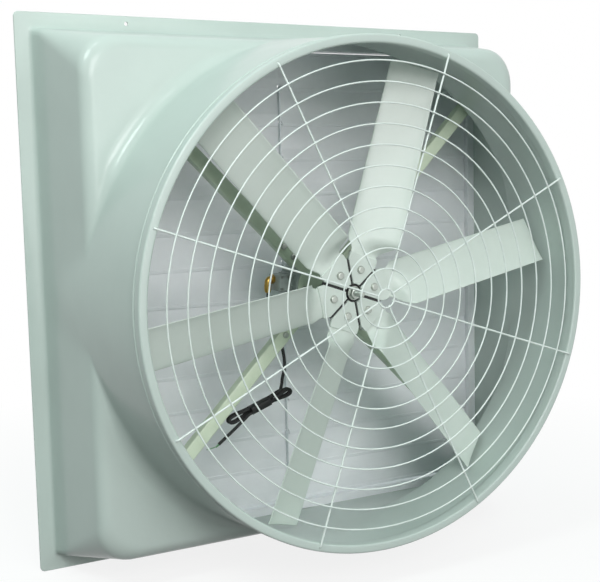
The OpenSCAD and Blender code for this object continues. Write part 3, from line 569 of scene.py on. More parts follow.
def rounded_square(theta, half, r):
    """Distance from the middle of a rounded square to its side along the angle theta."""
    c = lean(theta)
    s = np.minimum(np.abs(np.cos(theta)), np.abs(np.sin(theta)))
    q = half - r
    inside = np.maximum((q * (c + s)) ** 2 - 2 * q * q + r * r, 0)
    return np.where(half / c * s <= q, half / c, q * (c + s) + np.sqrt(inside))


def wall_half(h):
    """Half width of the tapered box at a depth."""
    return BASE - (BASE - FRONT) / DEPTH * h


def wall_round(h):
    """Corner radius of the tapered box at a depth: sharp at the seat and wide at the front."""
    return CORNER + CORNER_GAIN * np.maximum(h - SEAT_D, 0) / (DEPTH - SEAT_D)


def drum_radius(h):
    """Outer radius of the drum at a depth."""
    return DRUM_R + (RIM_H - h) * math.tan(DRAFT)


def moulding(theta, rho, h, skin):
    """Below zero inside the moulding: rounded box joined to the drum with a round fillet.

    The fillet's radius k is small at the box's side and grows over 60 mm towards its middle.
    """
    seat = np.maximum(h, SEAT_D) if skin > 0 else h
    square = rounded_square(theta, wall_half(seat) - skin, np.maximum(wall_round(h) - skin, 6))
    side, face = (rho - square) * lean(theta), h - (DEPTH - skin)
    e = BOX_EDGE - skin
    box = np.minimum(np.maximum(side + e, face + e), 0) - e
    box = box + np.hypot(np.maximum(side + e, 0), np.maximum(face + e, 0))
    drum = (rho - drum_radius(h) + skin) * math.cos(DRAFT)
    k = FILLET + skin + FILLET_GAIN * smooth((-6 - side) / 60)
    hollow = np.hypot(np.maximum(k - box, 0), np.maximum(k - drum, 0))
    return np.maximum(k, np.minimum(box, drum)) - hollow


def skin_rows(theta, skin, h_from, h_to, count, focus):
    """Rows of (radius, depth) on the moulding for all angles, from the flange to the drum."""
    start = np.arctan2(h_from, rounded_square(theta, wall_half(h_from) - skin, CORNER) - focus)
    stop = np.full_like(theta, math.atan2(h_to, drum_radius(h_to) - skin - focus))
    t = 1 - (1 - np.linspace(0, 1, count)) ** 1.5
    ray = start[:, None] + (stop - start)[:, None] * t
    near, far = np.zeros_like(ray), np.full_like(ray, LONGEST_RAY)
    for _ in range(HALVINGS):
        mid = (near + far) / 2
        out = moulding(theta[:, None], focus + mid * np.cos(ray), mid * np.sin(ray), skin) > 0
        far, near = np.where(out, mid, far), np.where(out, near, mid)
    return list(zip((focus + near * np.cos(ray)).T, (near * np.sin(ray)).T))


# %% [markdown]
# The skin is one closed loop of rows for every angle: over the flange, up the wall and the drum,
# round the rim and back down inside. Even angles would need many more columns, so they lie closer
# together towards the box's corners, where the surface bends most.

# %% Moulding skin
def quadrant_angles(n):
    """Angles round the axis, closer together towards the box's corners."""
    w = np.linspace(-1, 1, n, endpoint=False)
    part = 45 * np.sign(w) * (0.5 * np.abs(w) + 0.5 * (1 - (1 - np.abs(w)) ** 2.2))
    return np.radians((part + 90 * np.arange(4)[:, None]).ravel())


def flange_rows(theta):
    """Rows from the flange's back edge over its front face and up a small fillet to the wall."""
    edge = rounded_square(theta, FLANGE, FLANGE_ROUND)
    foot = rounded_square(theta, wall_half(FOOT_H), CORNER) + FOOT_OUT
    rows = [(edge - FLANGE_SOFT, 0), (edge, FLANGE_SOFT), (edge, FLANGE_T - FLANGE_SOFT),
            (edge - FLANGE_SOFT, FLANGE_T), (foot, FLANGE_T)]
    for a in np.radians([22.5, 45, 67.5]):
        rows.append((foot - FOOT_BEND * math.sin(a), FOOT_H - (FOOT_H - FLANGE_T) * math.cos(a)))
    return rows


def rim_rows():
    """Rows over the raised band, the lip's front and its inner side, to the drum's inner wall."""
    bend = arc(LIP_ROUND, quarter(6))
    top = RIM_H - LIP_ROUND
    rows = [(635.6, 534.6), (637.6, 535.6), (638.6, 537.4), (638.4, 539.4), (637.2, 541), (RIM_R, 541.8)]
    rows += [(RIM_R - LIP_ROUND + c, top + s) for c, s in bend]
    rows += [(LIP_R + LIP_ROUND - s, top + c) for c, s in bend]
    return rows + [(LIP_R, 556), (LIP_R, 545), (616, 538), (622, 528)]


def housing_patch():
    """The closed moulding: for each angle one loop of rows, outside up and inside down."""
    theta = quadrant_angles(116)
    outside = skin_rows(theta, skin=0, h_from=FOOT_H, h_to=534, count=84, focus=600)
    inside = skin_rows(theta, skin=WALL, h_from=0, h_to=520, count=56, focus=595)
    rows = flange_rows(theta) + outside + rim_rows() + inside[::-1]
    full = np.ones_like(theta)
    r = np.stack([row[0] * full for row in rows], axis=1)
    h = np.stack([row[1] * full for row in rows], axis=1)
    return closed(fan(r * np.cos(theta)[:, None], r * np.sin(theta)[:, None], h))


ARM_ANGLES = {"arm_upper_right": 45, "arm_upper_left": 135, "arm_lower_left": 225, "arm_lower_right": 315}
PAD, PAD_BACK, PAD_FRONT = [[716, -22], [804, -22], [804, 22], [716, 22]], 269, 276
arm_pads = [plate(turned_outline(PAD, deg), PAD_BACK, PAD_FRONT, 1.5) for deg in ARM_ANGLES.values()]
housing = piece("housing_moulding", [housing_patch()] + arm_pads, GELCOAT, ["housing"], sharp=HOUSING_SHARP)


# %% [markdown]
# The flange has four bolt holes and the lip has a blind hole for each spoke end. Holes in the grid
# itself would bend its rows, so they are cut afterwards with one Boolean by a set of turned plugs,
# and the result is kept as the mesh.

# %% Holes in the moulding
def drill(target, plugs):
    """Cuts the plugs out of a mesh and keeps the cut mesh."""
    tool = placed("plugs", mesh_of("plugs", plugs))
    cut = target.modifiers.new("holes", "BOOLEAN")
    cut.operation, cut.solver, cut.object = "DIFFERENCE", "EXACT", tool
    bpy.context.view_layer.update()
    done = bpy.data.meshes.new_from_object(target.evaluated_get(bpy.context.evaluated_depsgraph_get()))
    target.modifiers.clear()
    target.data = done
    bpy.data.objects.remove(tool)
    done.set_sharp_from_angle(angle=math.radians(HOUSING_SHARP))


WALL_BOLT_X, WALL_BOLT_Y, WALL_HOLE_R = 433, 710, 5.5
LEG_R, LEG_HOLE_R = 625, 2.65
spoke_angles = [26.6 + 45 * k for k in range(8)]
holes = [turned([(WALL_HOLE_R, -3), (WALL_HOLE_R, 9)], 20, (WALL_BOLT_X * sx, WALL_BOLT_Y * sy))
         for sx in (-1, 1) for sy in (-1, 1)]
holes += [turned([(LEG_HOLE_R, 555), (LEG_HOLE_R, 575)], 14, polar(LEG_R, deg)) for deg in spoke_angles]
drill(housing, holes)
print("holes cut", len(holes))

# %% [markdown]
# ## Guard
# The guard is welded wire: rings lie on straight spokes, each spoke bends back into the lip, and a
# small bead of weld sits at every crossing. A Wireframe modifier on a flat net would be quicker,
# but it gives no bends and only one thickness, so each wire is carried along its own path.

# %% Guard wires
RING_D, RING_H = 4, 578.5
SPOKE_D, SPOKE_H, SPOKE_FROM, SPOKE_TO, SPOKE_BEND = 5, 574.5, 21, 616, 6
BEAD = [(0.3, 574.2), (2.8, 575.2), (3.4, 576.8), (2.7, 578.6), (0.3, 579.6)]
ring_radii = [23 + 50 * k for k in range(12)]


def ring_wire(radius):
    """A ring of wire: a circle carried round the axis, in more steps where the ring is larger."""
    circle = arc(RING_D / 2, round_angles(10), (radius, RING_H))
    return turned(circle, 72 + int(radius / 4), hollow=True)


def spoke_wire(deg):
    """A spoke: straight along the front, then a small bend back into the lip."""
    front = rows_of(np.linspace(SPOKE_FROM, SPOKE_TO, 24), np.full(24, SPOKE_H))
    bend = arc(SPOKE_BEND, quarter(8)[::-1], (LEG_R - SPOKE_BEND, SPOKE_H - SPOKE_BEND))
    r, h = np.concatenate([front, bend, [[LEG_R, 563], [LEG_R, 558]]]).T
    return wire(fan(*polar(r, deg), h), SPOKE_D * MM)


guard_patches = [ring_wire(r) for r in ring_radii] + [spoke_wire(deg) for deg in spoke_angles]
guard_patches += [turned(BEAD, 8, polar(r, deg)) for deg in spoke_angles for r in ring_radii]
piece("guard_wires", guard_patches, WIRE_COAT, ["guard"], sharp=60)

# %% [markdown]
# ## Blades
# Each blade has a flat root plate, then an aerofoil that twists from a steep pitch near the hub to
# a flatter one at the tip. A box could be pulled into shape by hand, but then the twist is hard to
# keep even. Here chord, pitch, thickness and lean are functions of the span, and the section is a
# closed curve, so the skin is a grid of span and section.

# %% Blade skin
ROOT_MID, ROOT_BACK, HUB_FRONT = 423.5, 419, 428
FAN_R, TIP_ROUND, NECK_OUT, BLADE_FROM = 618, 3, 100, 88
NECK_CHORD, BLADE_CHORD, CHORD_LOSS = 78, 138, 8
BLADE_PITCH, PITCH_LOSS = 37, 11
NECK_THICK, BLADE_SWELL, EDGE_HALF = 6.6, 5.4, 1.4
CAMBER, CHORD_SHIFT = 0.14, 0.06
BLADE_LIFT, BLADE_LEAN = 17, 38
SLOT, ROOT_IN, ROOT_OUT, NECK_HALF = 7, 24, 92, 42
blade_angles = [10.7 + 60 * k for k in range(6)]


def blade_sections(r, squeeze, n=72):
    """Fan points round the blade at radii r: chord and thickness along a pitched mean line.

    The part fair, from 0 at the neck to 1 on the blade, brings in chord, pitch, swell and camber.
    """
    r = r[:, None]
    s = (r - BLADE_FROM) / (FAN_R - BLADE_FROM)
    fair = smooth((r - NECK_OUT - 4) / 45)
    chord = NECK_CHORD + fair * (BLADE_CHORD - CHORD_LOSS * s - NECK_CHORD)
    pitch = np.radians(fair * (BLADE_PITCH - PITCH_LOSS * s))
    thick = NECK_THICK + fair * BLADE_SWELL * (1 - 0.35 * s)
    u = round_angles(n)
    x = 0.5 * (1 - np.cos(u))
    body = 1.4845 * np.sqrt(x) - 0.63 * x - 1.758 * x ** 2 + 1.4215 * x ** 3 - 0.518 * x ** 4
    edge = EDGE_HALF * np.minimum(1, 20 * x) * np.sqrt(np.clip((1 - x) / 0.012, 0, 1))
    half = np.maximum(thick * body, edge) * squeeze[:, None]
    off = np.where(u < math.pi, -1, 1) * half - CAMBER * fair * chord * x * (1 - x)
    c = chord * (0.5 - CHORD_SHIFT * fair - x)
    mean = ROOT_MID + BLADE_LIFT * fair - BLADE_LEAN * s
    return r, c * np.cos(pitch) + off * np.sin(pitch), mean - c * np.sin(pitch) + off * np.cos(pitch)


def blade_patch(deg):
    """The aerofoil from inside the root's neck to a softly rounded tip."""
    shoulder = FAN_R - TIP_ROUND
    t = np.linspace(0, 1, 58)
    r = np.concatenate([BLADE_FROM + (shoulder - BLADE_FROM) * t ** 1.25,
                        shoulder + TIP_ROUND * np.array([0.4, 0.7, 0.9, 1])])
    x, y, h = blade_sections(r, np.concatenate([np.ones(58), [0.92, 0.72, 0.44, 0.06]]))
    return capped(fan(*spun(x, y, deg), h))


def slot_angle(radius):
    """Angle at which a circle meets the slot's side, the line y = (x - SLOT) tan 30."""
    slope = math.tan(math.radians(30))
    k, b = 1 + slope ** 2, SLOT * slope ** 2
    x = (b + math.sqrt(b ** 2 - k * ((SLOT * slope) ** 2 - radius ** 2))) / k
    return math.atan2((x - SLOT) * slope, x)


def root_outline():
    """Outline of a root plate: a sector between two slots, with a short wide neck for the blade."""
    inner, outer, side = slot_angle(ROOT_IN), slot_angle(ROOT_OUT), math.asin(NECK_HALF / ROOT_OUT)
    neck = np.array([[97.5, NECK_HALF], [99.3, 41.2]])
    across = np.linspace(-39, 39, 13)
    return side_points(np.concatenate([
        arc(ROOT_IN, np.linspace(inner, -inner, 13)), arc(ROOT_OUT, np.linspace(-outer, -side, 4)),
        neck * [1, -1], rows_of(np.full(13, NECK_OUT), across), neck[::-1],
        arc(ROOT_OUT, np.linspace(side, outer, 4))]), 4)


for k, deg in enumerate(blade_angles, 1):
    patches = [blade_patch(deg), plate(turned_outline(root_outline(), deg), ROOT_BACK, HUB_FRONT, 1.6)]
    piece("blade_skin_%d" % k, patches, BLADE_PAINT, ["blade_%d" % k], "impeller", sharp=45)


# %% [markdown]
# ## Hub hardware
# A bolt with a washer holds each blade, and a nut with a washer holds the hub on the shaft. A
# cylinder with six sides would do for a head that is far away, but these stand in the middle of the
# picture. A round chamfer cuts the corners of a forged head, so its top rows are a hexagon limited
# by a circle.

# %% Bolts, nut and shaft end
BOLT_SHARP = 30
HEAD_ROWS = ((9, 0), (9, 0.72), (1.06, 0.88), (0.98, 0.97), (0.9, 1), (0.5, 1))
BLADE_BOLT_AT, BLADE_WASHER_T = 62, 1.6
SHAFT_R, SHAFT_BACK, SHAFT_STEP, SHAFT_END = 12.5, 157.5, 424, 468
AXIS = (0, 0)


def bolt_head(at, h, flats, height, turn=0):
    """A forged head on depth h: rows (circle limit over half the flats, part of the height)."""
    outline = hexagon(flats, turn)
    reach = np.linalg.norm(outline, axis=1, keepdims=True)
    rings = []
    for limit, lift in HEAD_ROWS:
        ring = outline * np.minimum(1, limit * flats / 2 / reach)
        rings.append(fan(at[0] + ring[:, 0], at[1] + ring[:, 1], h + lift * height))
    return capped(rings)


def washer(at, h, radius, thickness):
    """A flat washer with softened edges."""
    e, top = min(0.4, thickness / 3), h + thickness
    return turned([(radius - e, h), (radius, h + e), (radius, top - e), (radius - e, top)], 40, at)


def stud(at, h0, h1, radius, pitch):
    """A threaded end: low rounded grooves along it and a chamfered tip."""
    z = np.linspace(h0, h1, int((h1 - h0) / pitch * 6) + 2)
    r = radius - 0.3 * pitch * (0.5 + 0.5 * np.cos(2 * math.pi * (z - h0) / pitch))
    r = np.minimum(r, radius - 1.4 + 1.4 * np.clip((h1 - z) / 1.6, 0, 1))
    return turned(rows_of(r, z), 32, at)


bolt_patches = []
for k, deg in enumerate(blade_angles):
    at = polar(BLADE_BOLT_AT, deg)
    bolt_patches += [
        washer(at, HUB_FRONT, radius=10.6, thickness=BLADE_WASHER_T),
        bolt_head(at, HUB_FRONT + BLADE_WASHER_T, flats=17, height=4.9, turn=13 * k),
        stud(at, 398, HUB_FRONT + 1, radius=4.95, pitch=1.5)]
piece("blade_bolt_set", bolt_patches, ZINC, ["blade_bolts"], "impeller", sharp=BOLT_SHARP)
shaft_washer = washer(AXIS, SHAFT_STEP, radius=18, thickness=4)
shaft_nut = bolt_head(AXIS, HUB_FRONT, flats=27.2, height=12.8, turn=11)
shaft_body = turned([(SHAFT_R - 1, SHAFT_BACK), (SHAFT_R, SHAFT_BACK + 1), (SHAFT_R, SHAFT_STEP - 1),
                     (SHAFT_R - 0.9, SHAFT_STEP)], 48)
shaft_thread = stud(AXIS, SHAFT_STEP - 0.5, SHAFT_END, radius=8, pitch=2)
piece("shaft_nut_set", [shaft_washer], ZINC, ["shaft_washer"], "impeller")
piece("shaft_nut_hex", [shaft_nut], ZINC, ["shaft_nut"], "impeller", sharp=BOLT_SHARP)
piece("shaft_turned", [shaft_body, shaft_thread], ZINC, ["motor_shaft"], "impeller", sharp=40)

# %% [markdown]
# ## Support cross
# The arms are channels folded from sheet. A bevelled box would pass from the front, but from behind
# the channel is open. A fold has a radius, so the channel's section is drawn as a line with two
# bends, given its thickness on both sides, and carried along the arm.

# %% Channel arms
ARM_HALF, ARM_FRONT, ARM_REAR, ARM_SHEET, ARM_FOLD = 18, 269, 244, 3, 4.5
ARM_ROWS = np.array([[104, 0.97], [105, 1], [250, 1], [400, 1], [550, 1], [700, 1], [791, 1], [800, 0.62]])
EAR = [[60, -14], [180, -14], [186, -8], [186, 8], [180, 14], [60, 14]]
PLATE_R, PLATE_BACK, PLATE_FRONT = 74, 260, 266
INNER_BOLTS_AT, FOOT_BOLTS_AT, MOUNT_BOLTS_AT = (126, 166), (738, 778), 56
M8_FLATS, M8_WASHER_R, M8_WASHER_T = 13.6, 8.4, 1.4


def channel_section():
    """Outer and inner line (across, depth) of the folded channel, from its right to its left edge."""
    middle = (ARM_HALF - ARM_FOLD, ARM_FRONT - ARM_FOLD)
    lines = []
    for inset in (0, ARM_SHEET):
        half = np.concatenate([[[ARM_HALF - inset, ARM_REAR]], arc(ARM_FOLD - inset, quarter(6), middle)])
        lines.append(np.concatenate([half, half[::-1] * [-1, 1]]))
    return lines


def arm_patch(deg):
    """A channel arm: its outer and inner lines form one strip, carried along rows (place, trim)."""
    outer, inner = channel_section()
    ring = np.concatenate([outer, inner[::-1]])
    along, trim = ARM_ROWS[:, :1], ARM_ROWS[:, 1:]
    flat, faces = grid(fan(*spun(along, ring[:, 0] * trim, deg), ring[:, 1]), wrap_v=True)
    n, j = len(ring), np.arange(len(outer) - 1)
    strip = rows_of(j, j + 1, n - 2 - j, n - 1 - j)
    return flat, faces + [strip[:, ::-1], strip + (len(ARM_ROWS) - 1) * n]


def small_bolt(at, h, height, turn):
    """A washer on depth h with a bolt head on it."""
    return [washer(at, h, M8_WASHER_R, M8_WASHER_T), bolt_head(at, h + M8_WASHER_T, M8_FLATS, height, turn)]


for name, deg in ARM_ANGLES.items():
    piece(name + "_channel", [arm_patch(deg)], ARM_PAINT, [name])
centre_patches = [plate(arc(PLATE_R, round_angles(96)), PLATE_BACK, PLATE_FRONT, 1.2)]
centre_patches += [plate(turned_outline(EAR, deg), PLATE_BACK + 0.2, PLATE_FRONT - 0.2)
                   for deg in ARM_ANGLES.values()]
piece("centre_plate_pressing", centre_patches, ARM_PAINT, ["centre_plate"])
inner_bolts, foot_bolts, mount_bolts = [], [], []
for k, deg in enumerate(ARM_ANGLES.values()):
    for r in INNER_BOLTS_AT:
        at = polar(r, deg)
        inner_bolts += small_bolt(at, ARM_FRONT, 4, 20 * k + r)
        inner_bolts += [bolt_head(at, 253.6, M8_FLATS, 6.4), stud(at, 252, 256, radius=3.95, pitch=1.25)]
    for r in FOOT_BOLTS_AT:
        at = polar(r, deg)
        foot_bolts += [washer(at, 264.6, M8_WASHER_R, M8_WASHER_T), bolt_head(at, 260.8, M8_FLATS, 4)]
    mount_bolts += small_bolt(polar(MOUNT_BOLTS_AT, 90 * k), PLATE_FRONT, 3.8, 31 * k)
bolt_sets = {"arm_inner_bolt": inner_bolts, "arm_outer_bolt": foot_bolts, "motor_mount_bolt": mount_bolts}
for name, patches in bolt_sets.items():
    piece(name + "_set", patches, ZINC, [name + "s"], sharp=BOLT_SHARP)

# %% [markdown]
# ## Motor
# A flat multi-pole motor: a cast frame with cooling fins between two end shields. The fins could be
# an array of thin boxes, but cast fins grow out of the body. As a round pulse on the radius they
# do, and frame and fins are one grid of angle and depth.

# %% Motor frame and shields
MOTOR_R, MOTOR_BORE, FRAME_BACK, FRAME_FRONT = 78, 66, 162, 248
FINS, FIN_HIGH, FIN_FADE = 32, 4, 5
BOX_PAD, BOX_PAD_BACK, BOX_PAD_FRONT = [[-82, -7], [-82, 41], [-66.5, 41], [-75, 18], [-77, -7]], 168, 236
MOTOR_MID = (FRAME_BACK + FRAME_FRONT) / 2
FRONT_FACE = [(13.5, 48), (13.5, 55), (24, 55), (26, 53.8), (48, 53.8), (51, 55)]
REAR_FACE = [(0.2, 48), (0.2, 55), (30, 55), (34, 53), (54, 53), (57, 55)]
SHIELD_RIM = [(72, 55), (76.5, 53.5), (MOTOR_R, 49), (MOTOR_R, 43), (MOTOR_BORE, 43), (65.9, 40), (32, 40),
              (32, 33), (26.1, 33), (26.1, 48)]


def shield(face, side):
    """Profile of an end shield: rows (radius, distance from the motor's middle) on one side of it."""
    return np.array(face[1:] + SHIELD_RIM + face[:1]) * [1, side] + [0, MOTOR_MID]


def finned_frame():
    """The frame: a round body whose radius has a pulse for each fin, fading towards the shields."""
    a = round_angles(FINS * 16)
    phase = (a * FINS / (2 * math.pi)) % 1
    fin = smooth((0.16 - np.abs(phase - 0.5)) / 0.07)
    low, high = FRAME_BACK + 3, FRAME_FRONT - 3
    h = np.array([FRAME_BACK, FRAME_BACK + 1, *np.linspace(low, high, 12), FRAME_FRONT - 1, FRAME_FRONT])
    fade = smooth((h - low) / FIN_FADE) * smooth((high - h) / FIN_FADE)
    r = MOTOR_R + FIN_HIGH * fin * fade[:, None]
    r[[0, -1]] -= 0.8
    r = np.concatenate([r, np.full((2, len(a)), MOTOR_BORE)])
    h = np.concatenate([h, [FRAME_FRONT, FRAME_BACK]])
    return closed(fan(r * np.cos(a), r * np.sin(a), h[:, None]))


box_pad = plate(BOX_PAD, BOX_PAD_BACK, BOX_PAD_FRONT, 1.5)
piece("motor_frame_casting", [finned_frame(), box_pad], MOTOR_PAINT, ["motor_frame"], sharp=40)
piece("front_shield_casting", [turned(shield(FRONT_FACE, 1), 128, hollow=True)], MOTOR_PAINT,
      ["front_end_shield"], sharp=30)
piece("rear_shield_casting", [turned(shield(REAR_FACE, -1), 128)], MOTOR_PAINT, ["rear_end_shield"],
      sharp=30)

# %% [markdown]
# The terminal box sits on the pad on the motor's left, with a lid on its front held by four screws.
# A brass elbow gland stands on the box's outer wall and turns the cord downwards. Box and lid could
# be cubes with a Bevel modifier, but the plate function is there already and rounds the same edges.
# The elbow is a thick wire, so its bend is a true quarter turn.

# %% Terminal box and gland
BOX_BACK, BOX_FRONT, LID_FRONT = 170, 231, 234
GLAND_X, GLAND_Y, GLAND_H = GLAND_END[0], 26, GLAND_END[2]
ELBOW_R, ELBOW_D, GLAND_FLATS = 8.5, 17, 22
GLAND_HEX = ((-112, 0.95), (-112.8, 1), (-119.2, 1), (-120, 0.94))
GLAND_NUT = [(4.4, -10), (6.3, -10), (8, -8), (9.6, -2), (9.6, 10.4), (9, 11), (9, 13), (4.4, 13)]


def soft_rect(x0, x1, y0, y1, r):
    """Outline of a rectangle with round corners."""
    middles = ((x1 - r, y1 - r), (x0 + r, y1 - r), (x0 + r, y0 + r), (x1 - r, y0 + r))
    return np.concatenate([arc(r, quarter(6) + k * math.pi / 2, at) for k, at in enumerate(middles)])


def gland_patches():
    """Hexagon on the wall, an elbow tube round a quarter turn, and a domed nut open for the cord."""
    flats = hexagon(GLAND_FLATS)
    rows = [fan(x, GLAND_Y + flats[:, 0] * k, GLAND_H + flats[:, 1] * k) for x, k in GLAND_HEX]
    v = quarter(9)
    x = np.array([-119, *(GLAND_X + ELBOW_R - ELBOW_R * np.sin(v)), GLAND_X])
    y = np.array([GLAND_Y, *(GLAND_Y - ELBOW_R + ELBOW_R * np.cos(v)), 12])
    nut = turned(GLAND_NUT, 128, (GLAND_X, GLAND_H), "y", hollow=True)
    return [capped(rows), wire(fan(x, y, GLAND_H), ELBOW_D * MM, 28), nut]


box_outline = soft_rect(-112, -82, -5, 39, 3)
box, lid = plate(box_outline, BOX_BACK, BOX_FRONT, 1.5), plate(box_outline, BOX_FRONT + 0.1, LID_FRONT, 0.9)
piece("terminal_box_casting", [box], MOTOR_PAINT, ["terminal_box"])
piece("terminal_lid_casting", [lid], MOTOR_PAINT, ["terminal_lid"])
piece("cable_gland_brass", gland_patches(), BRASS, ["cable_gland"])

# %% [markdown]
# ## Shutter
# Behind the impeller hangs a shutter. Each slat is an extruded strip with a bead along its upper
# edge, where it turns, and a bowed web that laps over the next slat. A plane with a Solidify
# modifier could give the web, but not the bead and the hem, so the section is one closed ring
# carried along X. At the middle a notch leaves room for the tie bar, which links all the slats
# through small lugs.

# %% Slat section
SLATS, SLAT_LAP, SILL_ROOM, PIVOT_H, PIVOT_DOWN = 13, 6, 4, 22.16, 9
FRAME_WIDE, FRAME_DEEP, FRAME_SHEET, FRAME_PLAY = 24, 47, 3, 0.3
OPEN_HALF = wall_half(SEAT_D) - WALL - FRAME_PLAY - FRAME_WIDE
PITCH = (2 * OPEN_HALF - PIVOT_DOWN - SLAT_LAP - SILL_ROOM) / SLATS
WEB_TOP, WEB_LOW, WEB_BOW = 3.5, 7.1, 16
LINK_DROP, LINK_OUT = PITCH - 2, WEB_LOW + 10
SLAT_END, NOTCH_END = PITCH + SLAT_LAP, PITCH - 10
NOTCH_HALF, NOTCH_SIDE = 2.8, 2.82
BEAD_R, PIN_R, LUG_SIDES = 5, 3, (6, 9)
LINK_PIN = [(1.4, -2.1), (1.8, -1.8), (2, 6.5)]


def slat_top(k):
    """Height of the pivot of slat k, counted from the top."""
    return OPEN_HALF - PIVOT_DOWN - PITCH * (k - 1)


def web_out(u):
    """Forward offset of a slat's middle line at a drop u below its pivot: a slope and a shallow bow."""
    s = u / SLAT_END
    return WEB_TOP + (WEB_LOW - WEB_TOP) * u / PITCH + WEB_BOW * s * (1 - s)


def slat_ring(end):
    """Closed section (drop, forward): down the front, over the hem, up the back, round the bead."""
    bead = np.radians(np.linspace(250, 20, 18))
    lip = np.radians(np.linspace(90, -90, 8))
    u = np.concatenate([np.linspace(5, end - 9.6, 34), end - np.array([9.3, 9, 8.7, 7, 5, 3, 1])])
    hem = 1.6 * smooth((u - end + 9.4) / 0.6)
    front = rows_of(u, web_out(u) + 1 + hem)
    tip = rows_of(end - 1 + np.cos(lip), web_out(end - 1) + 0.8 + 1.8 * np.sin(lip))
    back = rows_of(u, web_out(u) - 1)[::-1]
    return np.concatenate([front, tip, back, arc(BEAD_R, bead)])


def slat_patch(k):
    """A slat along X: full section, a short one across the notch, and the full section again."""
    full, cut = slat_ring(SLAT_END), slat_ring(NOTCH_END)
    half = [(NOTCH_HALF, cut), (NOTCH_SIDE, full), (300, full), (OPEN_HALF - 1.2, full)]
    stops = [(-x, section) for x, section in half[::-1]] + half
    return capped([fan(x, slat_top(k) - sec[:, 0], PIVOT_H + sec[:, 1]) for x, sec in stops])


def slat_fittings(k):
    """The slat's two pivot pins, and the lug with its pin for the tie bar."""
    low = slat_top(k) - LINK_DROP
    pins = [[(PIN_R, s * (OPEN_HALF - 3)), (PIN_R, s * (OPEN_HALF + 2.8))] for s in (-1, 1)]
    out = [turned(pin, 20, (slat_top(k), PIVOT_H), "x") for pin in pins]
    lug = np.array([
        [14, web_out(LINK_DROP - 14)], [6, LINK_OUT], [3.4, LINK_OUT + 3.6], [0, LINK_OUT + 5],
        [-3.4, LINK_OUT + 3.6], [-5, LINK_OUT], [-5, web_out(LINK_DROP + 5)]])
    out.append(capped([fan(x, low + lug[:, 0], PIVOT_H + lug[:, 1]) for x in LUG_SIDES]))
    out.append(turned(LINK_PIN, 16, (low, PIVOT_H + LINK_OUT), "x"))
    return out


for k in range(1, SLATS + 1):
    piece("slat_strip_%d" % k, [slat_patch(k)] + slat_fittings(k), SLAT_PLASTIC, ["slat_%d" % k],
          "louvre_%d" % k, sharp=40)

# %% [markdown]
# The tie bar is a flat strip of drawn aluminium, and the frame is a channel that seats the slats in
# the box. Both could be boxes, but thin sheet shows by its edges, so each is a section carried
# across the bar or round the square.

# %% Tie bar and shutter frame
BAR_HALF, BAR_REACH = 4.5, 1.5
BAR_ROWS = ((-1.5, 0.3), (-1.2, 0), (1.2, 0), (1.5, 0.3))


def tie_bar_patch():
    """A flat drawn bar with rounded ends, carried across its thickness by rows (place, inset)."""
    a = np.radians(np.linspace(0, 180, 10))
    top, low = slat_top(1) - LINK_DROP + BAR_REACH, slat_top(SLATS) - LINK_DROP - BAR_REACH
    y = np.concatenate([top + BAR_HALF * np.sin(a), low - BAR_HALF * np.sin(a)])
    out = np.concatenate([BAR_HALF * np.cos(a), -BAR_HALF * np.cos(a)])
    return capped([fan(x, y, PIVOT_H + LINK_OUT + out - np.sign(out) * inset) for x, inset in BAR_ROWS])


def frame_patch():
    """The shutter frame: an open channel section carried round a square with mitred corners."""
    lo, hi, front = OPEN_HALF, OPEN_HALF + FRAME_WIDE, FRAME_DEEP - FRAME_SHEET
    inner = lo + FRAME_SHEET
    sec = np.array([
        (lo, 1.5), (lo + 0.5, 1), (hi, 1), (hi, 4), (inner, 4), (inner, front), (hi, front),
        (hi, FRAME_DEEP), (lo + 0.5, FRAME_DEEP), (lo, FRAME_DEEP - 0.5)])
    corner = np.array([[1, 1], [-1, 1], [-1, -1], [1, -1]])
    return closed(fan(corner[:, :1] * sec[:, 0], corner[:, 1:] * sec[:, 0], sec[:, 1]))


piece("tie_bar_drawn", [tie_bar_patch()], ALUMINIUM, ["tie_bar"], "louvre_link")
piece("shutter_frame_channel", [frame_patch()], SLAT_PLASTIC, ["shutter_frame"], sharp=25)

# %% [markdown]
# ## The rest of the CAD nodes
# Pieces whose CAD shape is right keep it and only get a finish. Most of them are inside the motor
# or behind the blades, so a smoother skin would hardly be seen.

# %% Finishes for the nodes that stay
kept = {
    "hub": HUB_BLACK, "hub_key": ZINC, "blade_nuts": ZINC, "rotor_core": CORE_STEEL,
    "stator_core": CORE_STEEL, "stator_windings": COPPER, "front_bearing": ZINC, "rear_bearing": ZINC,
    "motor_tie_bolts": ZINC, "lid_screws": ZINC, "terminal_block": BLOCK_BLACK, "shutter_screws": ZINC,
}
for name, material in kept.items():
    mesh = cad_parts[name].data
    mesh.materials.clear()
    mesh.materials.append(material)
print("CAD shapes kept", len(kept))

# %% [markdown]
# ## Studio
# Two large soft lamps stand in front, one high on the left and one near the axis. A nearer lamp
# high on the left and a small one above give the gloss on the mouldings, and a sky that fades
# downwards fills the shade. One bright sky would be simpler, but then the walls lose their form.
# The background is white to the camera while the floor keeps the object's shadow.

# %% Floor, world and lamps
WHITE = (1, 1, 1, 1)
PAPER = (0.12, 0.12, 0.12, 1)
FLOOR_HALF, FLOOR_GAP = 14, 0.0005
SHADE_NEAR, SHADE_FAR, SHADE_SHARE = 0.9, 2.2, 0.16
SKY = [(0, (0.008, 0.013, 0.012, 1)), (0.5, (0.042, 0.065, 0.06, 1)), (1, (0.62, 0.74, 0.72, 1))]


